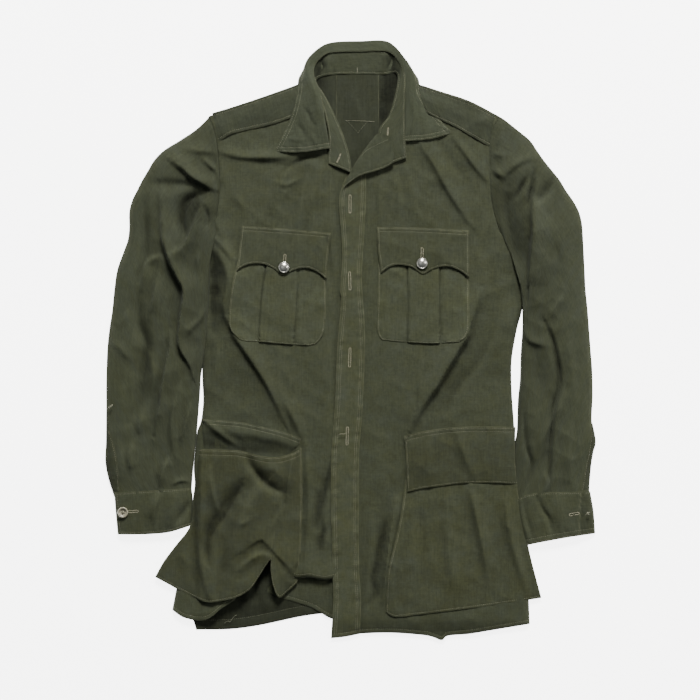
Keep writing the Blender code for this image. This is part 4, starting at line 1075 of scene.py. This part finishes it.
cuffs = {
    "right": {
        "outline": ([(114, 493), (150, 490.5), (191.5, 488)], [(191.5, 488), (192.5, 500), (191, 525.5)],
                    [(117.5, 534.5), (135, 534.5), (152, 534), (170, 532), (191, 525.5)],
                    [(114, 493), (115.5, 512), (117.5, 534.5)]),
        "creases": [([(160, 494), (155, 508), (153, 520)], 2.6, 4, 9),
                    ([(190, 502), (184, 512), (178, 522)], -2.6, 5, 5),
                    ([(176, 492), (172, 508), (168, 528)], 1.8, 8, 8)],
        "rows": {"top": [2.2], "left": [4.2], "bottom": [3.4], "right": []},
    },
    "left": {
        "outline": ([(515.5, 500.5), (526, 495), (541, 492.5), (565, 492), (590.5, 491.5)],
                    [(590.5, 491.5), (594, 512), (595.5, 533.5)],
                    [(525.5, 545.5), (545, 541.5), (570, 537), (595.5, 533.5)],
                    [(515.5, 500.5), (519, 518), (525.5, 545.5)]),
        # the edge of the buttonhole end over the other
        "lap": [(582, 488), (580.5, 505), (580, 520), (580, 538)],
        "creases": [([(538, 498), (543, 510), (549, 519), (552, 531)], -1.7, 3, 4),
                    ([(519.5, 500), (522, 518), (528, 542)], 1.4, 2.6, 3),
                    ([(524, 502), (527, 520), (533, 538)], -1.2, 3, 2.6),
                    ([(562, 496), (560, 515), (563, 535)], 1.4, 9, 8)],
        "rows": {"top": [2.2], "bottom": [2.2, 7.6], "left": []},
    },
}


def makeCuff(side, seed):
    cut = cuffs[side]
    grid = patch(*cut["outline"], 2.1, cut["rows"])
    height = 9.4 - 1.0 * grid["v"]
    top, under = tubeSurfaces(grid, height, cut["creases"], seed, 7, 2.4, 0.5)
    rows = dict(grid["rows"])
    grid["rows"] = {side: rows[side] for side in rows if rows[side]}
    top += sewnEdges(grid, seed, 0.35, 0.3)
    wearAndShade = wearOf(grid)
    if "lap" in cut:
        line = walk(smooth(at(cut["lap"])), np.linspace(0, 1, 40))
        past = grid["x"] - np.interp(-grid["y"], -line[:, 1], line[:, 0])
        # past the lap the other end lies lower; the lap's edge gets a rubbed light line and the layer past it
        # painted shade
        top -= 1.9 * ease(past / 2.2 + 0.5)
        wearAndShade = np.maximum(wearAndShade, 0.7 * np.exp(-((past + 0.9) / 0.8) ** 2)) - 0.45 * ease(past / 1.5 + 0.5)
    piece = makeTube("cuff" + side.title(), grid, top, under, cloth["cuff"], wearAndShade)
    for edge, lines in grid["rows"].items():
        for row in lines:
            stitchLines.append((rowLine(grid, grid["surface"], edge, row), "seam"))
    finishPiece(piece, ["cuff_" + side], (0.235, 0.065))
    return grid


def makeBindings():
    # the strip along each sleeve opening
    lines = {"right": [(109, 412), (109.5, 430), (114, 445), (118, 466), (119.5, 490)],
             "left": [(593, 430), (590, 445), (585.5, 468), (581.5, 489)]}
    edges = {"right": [(106, 410), (105.8, 440), (105.2, 460), (108.2, 478), (113, 491)],
             "left": [(592.5, 422), (596, 441), (593.6, 452), (591.5, 465), (589.3, 489)]}
    for side in ("right", "left"):
        sleeve = grids["sleeve" + side.title()]
        first, second = (edges[side], lines[side]) if side == "right" else (lines[side], edges[side])
        strip = patch([first[0], second[0]], second, [first[-1], second[-1]], first, 1.8,
                      {"right" if side == "right" else "left": [2.0]})
        z = np.array([[nearestHeight(sleeve, x, y) for x, y in zip(*row)]
                      for row in zip(strip["x"], strip["y"])])
        z = (z + np.roll(z, 1, 0) + np.roll(z, -1, 0)) / 3
        z[0], z[-1] = z[1], z[-2]
        clothPiece("sleeveBinding" + side.title(), strip, z + 0.7, cloth["sleeve"], 241, (0.014, 0.12),
                   ["sleeve_binding_" + side], grain="piece", area=0.0011)


def curvedStrip(rows, spacing, edgeRows):
    # a grid through rows of control points in space, with extra rows at its edges like patch's
    lengthways = smooth([inSpace(row) for row in rows], 10)
    across = [smooth(row, 8) for row in lengthways]
    near, bands = nearEdges(edgeRows)
    widths = np.array([distances(row)[-1] for row in across])
    marks = stations(widths.max(), spacing, near["left"], near["right"])
    fromLeft = spread(marks[None, :], widths.max(), widths[:, None], bands["left"], bands["right"])
    columns = [walk(row, shares / width) for row, shares, width in zip(across, fromLeft, widths)]
    columns = np.stack(columns, 1)
    lengths = np.array([distances(column)[-1] for column in columns])
    marks = stations(lengths.max(), spacing, near["top"], near["bottom"])
    fromTop = spread(marks[:, None], lengths.max(), lengths[None, :], bands["top"], bands["bottom"])
    surface, left, right = [], [], []
    for column, length, down, sideways in zip(columns, lengths, fromTop.T, fromLeft.T):
        surface.append(walk(column, down / length))
        left.append(np.interp(down, distances(column), sideways))
        right.append(np.interp(down, distances(column), widths - sideways))
    surface, left, right = np.stack(surface, 1), np.stack(left, 1), np.stack(right, 1)
    return {"x": surface[..., 0], "y": surface[..., 1], "z": surface[..., 2], "left": left, "right": right,
            "top": fromTop, "bottom": lengths[None, :] - fromTop, "rows": edgeRows}


collar = {
    # seam, roll, middle of the leaf, edge: from its right front end round the neck to its left front end
    "fall": [
        [(330, 149, 10), (326.6, 149, 11.8), (302, 152.6, 10.6), (274, 151.7, 7.4)],
        [(327, 130, 12.5), (323.8, 129.7, 14.5), (303, 132.5, 12.2), (283, 135, 7.6)],
        [(323.8, 111, 14), (319.7, 110.3, 16.5), (305, 113, 13.5), (291.4, 115.9, 8.0)],
        [(319.6, 91.7, 14.2), (313.8, 91, 17), (305, 92, 13.5), (296.9, 93, 7.8)],
        [(314, 74.5, 11.4), (307.8, 72.4, 14), (303.5, 74.5, 10.5), (299, 77, 5.2)],
        [(317, 62.4, 8.4), (309.3, 57.5, 9.8), (307, 62, 5.5), (308, 68, 1.6)],
        [(330, 53, 8), (328, 43, 6.4), (328, 54, 2.6), (329, 69.7, 1.0)],
        [(359.7, 51.7, 7.4), (359.7, 40.6, 5.6), (359.7, 52, 2.2), (359.7, 69.7, 1.0)],
        [(387, 51.7, 8), (388, 41.4, 6.2), (386, 53, 2.6), (384.5, 69.7, 1.0)],
        [(398.5, 62, 8.2), (404.5, 58, 9.5), (405, 62, 5.5), (402.4, 68.3, 1.6)],
        [(403.5, 75, 10.0), (411, 72.5, 12.5), (415, 74.5, 9.5), (417.6, 77.2, 5.2)],
        [(404.2, 91, 10.2), (410.6, 90.3, 12.5), (417, 92.5, 11.5), (421, 94.5, 8.4)],
        [(404.5, 109.7, 9.8), (408.8, 109, 11.6), (421, 110.5, 11.2), (432.8, 111.7, 8.6)],
        [(404.5, 127, 9.6), (408.2, 126, 11.2), (426, 125.5, 11), (443.8, 124, 8.6)],
        [(404.5, 141, 9.4), (407.8, 141.4, 10.6), (431, 139.2, 10.4), (452.8, 133, 7.8)],
    ],
    "creases": [
        ([(304, 108), (309, 115), (312, 122), (317, 127)], -1.6, 2.6, 3.0),
        ([(297, 124), (303, 131), (306, 139)], -1.3, 2.6, 3.0),
        ([(311, 134), (314, 141), (318, 147)], 1.2, 4, 2.4),
        ([(296, 97), (300, 108), (298, 122)], 1.2, 6, 6),
        ([(288, 138), (296, 141), (304, 140)], 1.0, 5, 2.4),
        ([(411, 100), (414, 116), (411, 130)], 1.2, 4, 2.6),
        ([(424, 104), (430, 116), (436, 128)], -0.8, 6, 6),
    ],
    # where the stand buckles at the ends of the back neck
    "corners": [
        ([(327, 53), (321, 60), (322, 68), (317, 77)], -3.2, 3, 4),
        ([(330, 56), (328, 66), (329, 74)], 1.6, 3, 2.4),
        ([(388, 52), (392, 60), (390, 68), (394, 76)], -3.2, 4, 3),
        ([(384, 54), (385, 64), (383, 74)], 1.4, 2.4, 3),
    ],
    # painted shade in the buckled corners of the stand
    "shadePatches": [((317, 67), 9, 1.6), ((322, 60), 8, 1.0), ((318, 77), 8, 1.2), ((393, 62), 9, 1.5),
               ((396, 72), 8, 1.3), ((388, 56), 7, 0.9)],
    # bottom, top
    "stand": [
        [(352, 173, 8.2), (328.6, 163.6, 8.4)],
        [(350, 158, 6.2), (328.6, 151, 8.2)],
        [(345.5, 141.4, 5.6), (329, 137, 9.5)],
        [(337, 119.3, 5.4), (325.5, 117, 11.5)],
        [(326, 97, 5.0), (319, 94, 12)],
        [(316.5, 82, 4.6), (312.4, 75, 10)],
        [(322, 76.5, 3.4), (315.4, 61.5, 7.2)],
        [(336, 74.3, 2.6), (331, 51.8, 6.0)],
        [(359.7, 74, 2.4), (359.7, 50.4, 5.6)],
        [(383.5, 74.3, 2.6), (386, 51.8, 6.0)],
        [(395.5, 73, 3.8), (400.5, 62, 8.0)],
        [(397.5, 81, 7.6), (405.2, 75, 11.4)],
        [(394.5, 97, 9.0), (405.4, 91.7, 13.6)],
        [(389, 115, 9.6), (404.6, 109.7, 13.2)],
        [(379, 129.5, 9.8), (405, 127, 12.8)],
        [(381, 143, 10.2), (405.4, 142.8, 12.4)],
        [(391, 163.6, 9.6), (406.4, 158, 11.4)],
    ],
}


def makeCollar():
    grid = curvedStrip(collar["fall"], 2.2,
                       {"right": [2.4, 7.6], "top": [2.6, 7.4], "bottom": [2.6, 7.4], "left": []})
    edge = np.clip(grid["right"] / 30, 0, 1)
    grid["z"] += creases(grid["x"], grid["y"], collar["creases"])
    z = grid["z"] + 0.7 * crumple(grid["x"], grid["y"], 261, 0.7) * edge
    clothPiece("collarFall", grid, z, cloth["collar"], 263, (0.36, 0.085), ["collar_fall"],
               area=0.021, grain="piece", puckers=0.4)

    grid = curvedStrip(collar["stand"], 2.0, {"right": [2.2], "left": [3.0], "top": [3.0], "bottom": [3.0]})
    z = grid["z"] + 0.35 * crumple(grid["x"], grid["y"], 271, 0.8)
    z += creases(grid["x"], grid["y"], collar["corners"])
    clothPiece("collarStand", grid, np.maximum(z, 2.0), cloth["inside"], 273, (0.41, 0.035), ["collar_stand"],
               area=0.0115, grain="piece", puckers=0.4,
               shadePatches=collar["shadePatches"])
    return grid


def turned(name, profile, centre, material, segments=40, dents=(), tilt=0.0):
    # a button turned about a vertical axis: the profile's (radius, height) go from the axis over the
    # top to the underside; dents are (x, y, radius, depth)
    angles = np.arange(segments) * 2 * np.pi / segments
    radii, heights = np.array(profile, float).T
    x = centre[0] + radii[:, None] * np.cos(angles)
    y = centre[1] + radii[:, None] * np.sin(angles)
    z = centre[2] + heights[:, None] + 0 * angles
    for dx, dy, radius, depth in dents:
        away = np.hypot(x - centre[0] - dx, y - centre[1] - dy)
        z -= depth * np.exp(-(away / radius) ** 6) * (np.arange(len(radii)) < len(radii) - 3)[:, None]
    points = np.stack([x, y, z + tilt * (y - centre[1])], -1).transpose(1, 0, 2)[::-1, ::-1]
    return makeMesh(name, [points], material, [np.zeros(points.shape[:2] + (2,))],
                    [np.zeros(points.shape[:2])], closedAround=True)


def makeMetal():
    shader = Shader("buttonMetal")
    place = shader.add("ShaderNodeTexCoord", {}, {}, "Object")
    dull = shader.noise(place, 260.0, 3.0, 0.6)
    scuffs = shader.noise(place, 900.0, 2.0, 0.6)
    tone = shader.mix(dull, (0.30, 0.295, 0.26, 1), (0.54, 0.53, 0.48, 1))
    return shader.finish(Base_Color=tone, Metallic=0.92, Roughness=0.22 + 0.3 * (dull * scuffs),
                         Normal=shader.bump(scuffs, 0.0001, 0.35))


def makeHorn():
    shader = Shader("buttonHorn")
    place = shader.add("ShaderNodeTexCoord", {}, {}, "Object")
    streaks = shader.noise(shader.scaled(place, (1.0, 0.3, 1.0)), 420.0, 3.0, 0.6)
    tone = shader.mix(streaks, (0.11, 0.10, 0.068, 1), (0.25, 0.235, 0.17, 1))
    return shader.finish(Base_Color=tone, Roughness=0.34 + 0.12 * streaks, Coat_Weight=0.15,
                         Normal=shader.bump(streaks, 0.0001, 0.3))


def makeButtons(metal, horn):
    dome = [(0.01, 4.5), (1.6, 4.42), (3.2, 4.1), (4.6, 3.55), (5.6, 2.95), (6.15, 2.5), (6.4, 2.3),
            (6.65, 2.35), (7.0, 2.6), (7.4, 2.65), (7.75, 2.45), (7.95, 2.0), (7.9, 1.5), (7.4, 1.15),
            (5.0, 1.0), (2.4, 0.95), (2.2, -0.4), (0.01, -0.5)]
    for side, place in (("right", (284, 267.5)), ("left", (422, 263.5))):
        x, y = at([place])[0]
        z = nearestHeight(grids["chestFlap" + side.title()], x, y)
        button = turned("chestButton" + side.title(), dome, (x, y, z), metal, tilt=0.03)
        finishPiece(button, ["chest_button_" + side], None)
    ring = [(0.01, 1.3), (0.7, 1.3), (1.3, 1.3), (1.9, 1.3), (2.5, 1.3), (3.1, 1.3), (3.7, 1.32), (4.2, 1.4),
            (4.7, 1.7), (5.2, 2.4), (5.9, 3.1), (6.5, 3.25), (7.1, 3.1), (7.6, 2.6), (7.8, 1.9), (7.5, 1.2),
            (6.0, 0.7), (3.0, 0.5), (0.01, 0.5)]
    x, y = at([(123, 512.3)])[0]
    z = nearestHeight(grids["cuffRight"], x, y)
    holes = [(sx * 1.5, sy * 1.5, 0.85, 1.3) for sx in (-1, 1) for sy in (-1, 1)]
    button = turned("cuffButtonRight", ring, (x, y, z - 0.3), horn, 56, holes)
    finishPiece(button, ["cuff_button_right"], None)
    for sign in (-1, 1):  # the thread crosses between the holes
        crossing = ((-1.5, 0.9), (-0.8, 2.0), (0, 2.1 + 0.4 * sign), (0.8, 2.0), (1.5, 0.9))
        sew.append(([(x + step * sign, y + step, z + rise) for step, rise in crossing], 0.42))


def threadTubes(name, lines, material, sides=6):
    surfaces, uvs, wearAndShadeMaps = [], [], []
    for points, radius in lines:
        line = smooth(points, 6)
        direction = np.gradient(line, axis=0)
        direction /= np.linalg.norm(direction, axis=1)[:, None]
        beside = np.cross(direction, (0.3, 0.2, 1.0))
        beside /= np.linalg.norm(beside, axis=1)[:, None]
        above = np.cross(beside, direction)
        angles = -np.arange(sides) * 2 * np.pi / sides
        taper = np.ones(len(line))
        taper[0] = taper[-1] = 0.35
        tube = line[:, None] + radius * taper[:, None, None] * (
            beside[:, None] * np.cos(angles)[None, :, None] + above[:, None] * np.sin(angles)[None, :, None])
        surfaces.append(tube)
        uvs.append(np.zeros(tube.shape[:2] + (2,)))
        wearAndShadeMaps.append(np.zeros(tube.shape[:2]))
    return makeMesh(name, surfaces, material, uvs, wearAndShadeMaps, closedAcross=True)


def stitchTree():
    tree = bpy.data.node_groups.new("stitches", "GeometryNodeTree")
    sockets = {}
    for name, kind in (("Geometry", "Geometry"), ("Pitch", "Float"), ("Length", "Float"),
                       ("Width", "Float"), ("Height", "Float"), ("Thread", "Material")):
        socketType = "NodeSocket" + kind
        sockets[name] = tree.interface.new_socket(name=name, in_out="INPUT", socket_type=socketType)
    tree.interface.new_socket(name="Geometry", in_out="OUTPUT", socket_type="NodeSocketGeometry")
    nodes, links = tree.nodes, tree.links
    given, out = nodes.new("NodeGroupInput"), nodes.new("NodeGroupOutput")
    curve = nodes.new("GeometryNodeMeshToCurve")
    links.new(given.outputs["Geometry"], curve.inputs["Mesh"])
    upright = nodes.new("GeometryNodeSetCurveNormal")
    if hasattr(upright, "mode"):
        upright.mode = "Z_UP"
    links.new(curve.outputs[0], upright.inputs["Curve"])
    points = nodes.new("GeometryNodeCurveToPoints")
    points.mode = "LENGTH"
    links.new(upright.outputs[0], points.inputs["Curve"])
    links.new(given.outputs["Pitch"], points.inputs["Length"])
    ball = nodes.new("GeometryNodeMeshUVSphere")
    ball.inputs["Segments"].default_value, ball.inputs["Rings"].default_value = 6, 3
    ball.inputs["Radius"].default_value = 0.5
    size = nodes.new("ShaderNodeCombineXYZ")
    links.new(given.outputs["Width"], size.inputs["X"])
    links.new(given.outputs["Height"], size.inputs["Y"])
    links.new(given.outputs["Length"], size.inputs["Z"])
    shape = nodes.new("GeometryNodeTransform")
    links.new(ball.outputs["Mesh"], shape.inputs["Geometry"])
    links.new(size.outputs[0], shape.inputs["Scale"])
    uneven = nodes.new("FunctionNodeRandomValue")
    uneven.data_type = "FLOAT"
    uneven.inputs["Seed"].default_value = 7
    for socket in uneven.inputs:
        if socket.name == "Min" and socket.type == "VALUE":
            socket.default_value = 0.86
        if socket.name == "Max" and socket.type == "VALUE":
            socket.default_value = 1.1
    amount = next(socket for socket in uneven.outputs if socket.type == "VALUE" and socket.enabled)
    lay = nodes.new("GeometryNodeInstanceOnPoints")
    links.new(points.outputs["Points"], lay.inputs["Points"])
    links.new(shape.outputs[0], lay.inputs["Instance"])
    links.new(points.outputs["Rotation"], lay.inputs["Rotation"])
    links.new(amount, lay.inputs["Scale"])
    real = nodes.new("GeometryNodeRealizeInstances")
    links.new(lay.outputs[0], real.inputs[0])
    paint = nodes.new("GeometryNodeSetMaterial")
    links.new(real.outputs[0], paint.inputs["Geometry"])
    links.new(given.outputs["Thread"], paint.inputs["Material"])
    links.new(paint.outputs[0], out.inputs[0])
    return tree, sockets


def sewLines(name, tree, sockets, lines, sizes, thread):
    # one piece of stitches along the given lines (mm); sizes are pitch, length, width and height in mm
    verts, edges = [], []
    for line in lines:
        first = len(verts)
        verts += [tuple(point * 0.001) for point in np.asarray(line, float)]
        edges += [(k, k + 1) for k in range(first, len(verts) - 1)]
    mesh = bpy.data.meshes.new(name)
    mesh.from_pydata(verts, edges, [])
    piece = bpy.data.objects.new(name, mesh)
    bpy.context.scene.collection.objects.link(piece)
    sewing = piece.modifiers.new("sewing", "NODES")
    sewing.node_group = tree
    for key, value in zip(("Pitch", "Length", "Width", "Height"), sizes):
        sewing[sockets[key].identifier] = value * 0.001
    sewing[sockets["Thread"].identifier] = thread
    plainMesh(piece)
    piece.data.shade_smooth()
    if thread.name not in [m.name for m in piece.data.materials if m]:
        piece.data.materials.append(thread)
    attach(piece, "root")
    print("sewn", name, len(piece.data.polygons), "faces")


def buttonhole(piece, first, last, half=1.5):
    # the closed path down one side of a slit and up the other, lying just over a finished surface
    a, b = at([first, last])
    along = (b - a) / np.linalg.norm(b - a)
    beside = np.array([-along[1], along[0]])
    path = []
    for start, end, sign in ((0, b, 1), (1, a, -1)):
        for t in np.linspace(start, 1 - start, 14):
            path.append(a + (b - a) * t + sign * half * beside)
        for angle in np.linspace(0, np.pi, 7)[1:-1]:
            path.append(end + sign * half * (beside * math.cos(angle) + along * math.sin(angle)))
    path.append(path[0])
    return np.array([[x, y, nearestHeight(grids[piece], x, y) + 0.1] for x, y in path])


makeBack()
makeFronts()
grids["band"] = makeBand()
makeTurnedEnd()
makeStraps()
grids["chestFlapRight"] = makeChestPocket("right", rightTop, 101)
grids["chestFlapLeft"] = makeChestPocket("left", leftTop, 121)
makeGapingPocket()
makeClosedPocket()
grids["sleeveRight"] = makeSleeve("right", rightTop, 211)
grids["sleeveLeft"] = makeSleeve("left", leftTop, 221)
makeBindings()
grids["cuffRight"] = makeCuff("right", 231)
grids["cuffLeft"] = makeCuff("left", 236)
grids["stand"] = makeCollar()
makeButtons(makeMetal(), makeHorn())

# each buttonhole: the piece it is in, the ends of its slit, and half its width in mm where it isn't 1.5
buttonholes = [
    ("band", (350, 196), (350, 212)),
    ("band", (349.5, 273), (350, 289)),
    ("band", (350, 349), (349.5, 366)),
    ("band", (347.5, 428), (347, 444)),
    ("cuffRight", (129, 511.6), (137.5, 511.2)),
    ("cuffLeft", (570, 514.8), (578, 513.2)),
    ("chestFlapRight", (285, 255.5), (284.4, 265)),
    ("chestFlapLeft", (422, 249), (422, 262)),
    ("stand", (388.2, 128.5), (387.6, 135), 0.6),
    ("stand", (340.5, 154.5), (337.2, 162), 0.6),
]
# pitch, length, width and height of a stitch in mm
stitchSizes = {
    "seam": (3.0, 2.3, 0.5, 0.5),
    "bright": (3.0, 2.6, 0.6, 0.45),
    "buttonhole": (0.6, 0.62, 1.15, 0.5),
}
khaki = makeThread("threadKhaki", (0.105, 0.105, 0.060))
pale = makeThread("threadPale", (0.20, 0.195, 0.13))
white = makeThread("threadWhite", (0.23, 0.215, 0.14))
tree, sockets = stitchTree()
for name, kind, thread in (("seamStitches", "seam", khaki), ("topStitches", "bright", pale)):
    lines = [line for line, lineKind in stitchLines if lineKind == kind and len(line) > 2]
    sewLines(name, tree, sockets, lines, stitchSizes[kind], thread)
holes = [buttonhole(*slit) for slit in buttonholes]
sewLines("buttonholes", tree, sockets, holes, stitchSizes["buttonhole"], white)

# loose ends of thread: points as (pixel, pixel, height in mm), and the radius in mm
stray = [
    ([(357, 67.5, 4.9), (357.3, 70, 4.5), (357, 73, 4.0)], 0.3),
    ([(107.5, 409.5, 8), (109, 407, 11), (111.5, 406.5, 12), (113, 404.5, 11), (111, 405.6, 12.5),
      (109.4, 408.8, 10)], 0.35),
    ([(338.8, 435.2, 9.6), (341, 433.6, 10.4), (344, 434, 10.2), (346.4, 432, 9.8)], 0.3),
    ([(224, 623.5, 3), (228, 621, 3.6), (230, 622, 3.2), (234, 616.5, 3.8), (237, 615, 3.4)], 0.14),
    ([(585.6, 514.6, 11), (587.4, 512.2, 12), (588.6, 514.4, 11.6), (586.6, 513, 12),
      (589.6, 511.8, 11)], 0.4),
]
sew += [(inSpace(points), radius) for points, radius in stray]
threads = threadTubes("looseThreads", sew, pale)
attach(threads, "root")
print("sewn", len(sew), "loose threads")


def makeFloor():
    shader = Shader("floorPaper")
    place = shader.add("ShaderNodeTexCoord", {}, {}, "Object")
    tone = shader.mix(shader.noise(place, 3.0), (0.86, 0.86, 0.86, 1), (0.88, 0.88, 0.88, 1))
    shader.finish(Base_Color=tone, Roughness=0.9, Specular_IOR_Level=0.1,
                  Emission_Color=(1, 1, 1, 1), Emission_Strength=5.0)
    mesh = bpy.data.meshes.new("floor")
    half = 4  # metres
    corners = [(-half, -half, 0), (half, -half, 0), (half, half, 0), (-half, half, 0)]
    mesh.from_pydata(corners, [], [(0, 1, 2, 3)])
    mesh.materials.append(shader.material)
    floor = bpy.data.objects.new("floor", mesh)
    bpy.context.scene.collection.objects.link(floor)


# each light: place in metres, side in metres, power in watts, colour
lights = {
    "key": ((0.2, 3.3, 2.1), 1.0, 480, (1.0, 0.985, 0.95)),
    "side": ((4.1, 1.0, 2.4), 1.4, 130, (1.0, 0.985, 0.95)),
    "fill": ((-1.6, 0.2, 3.4), 2.2, 12, (0.93, 0.97, 1.0)),
}


def makeLight(name, place, size, power, colour):
    # an area light that looks at the frame's origin
    lamp = bpy.data.lights.new(name, "AREA")
    lamp.size, lamp.energy, lamp.color = size, power, colour
    light = bpy.data.objects.new(name, lamp)
    light.location = place
    light.rotation_euler = (-Vector(place)).to_track_quat("-Z", "Y").to_euler()
    bpy.context.scene.collection.objects.link(light)


makeFloor()
for name, settings in lights.items():
    makeLight(name, *settings)
world = bpy.data.worlds.new("studio")
world.use_nodes = True
world.node_tree.nodes["Background"].inputs["Color"].default_value = (0.86, 0.93, 1.0, 1)
world.node_tree.nodes["Background"].inputs["Strength"].default_value = 0.15
bpy.context.scene.world = world

# the camera looks straight down from where the photo's pixels have their size on the cloth
view = {"lens": 150, "sensor": 36, "clothHeight": 0.006}  # mm, mm, metres
lens = bpy.data.cameras.new("camera")
lens.lens, lens.sensor_width, lens.sensor_fit = view["lens"], view["sensor"], "HORIZONTAL"
lens.clip_start, lens.clip_end = 0.1, 20
camera = bpy.data.objects.new("camera", lens)
away = pictureSide * pixel * 0.001 * view["lens"] / view["sensor"] + view["clothHeight"]
camera.location = (0, (pictureMiddle[1] - pictureSide / 2) * pixel * 0.001, away)
bpy.context.scene.collection.objects.link(camera)
bpy.context.scene.camera = camera
print("stage, lights and camera are set")
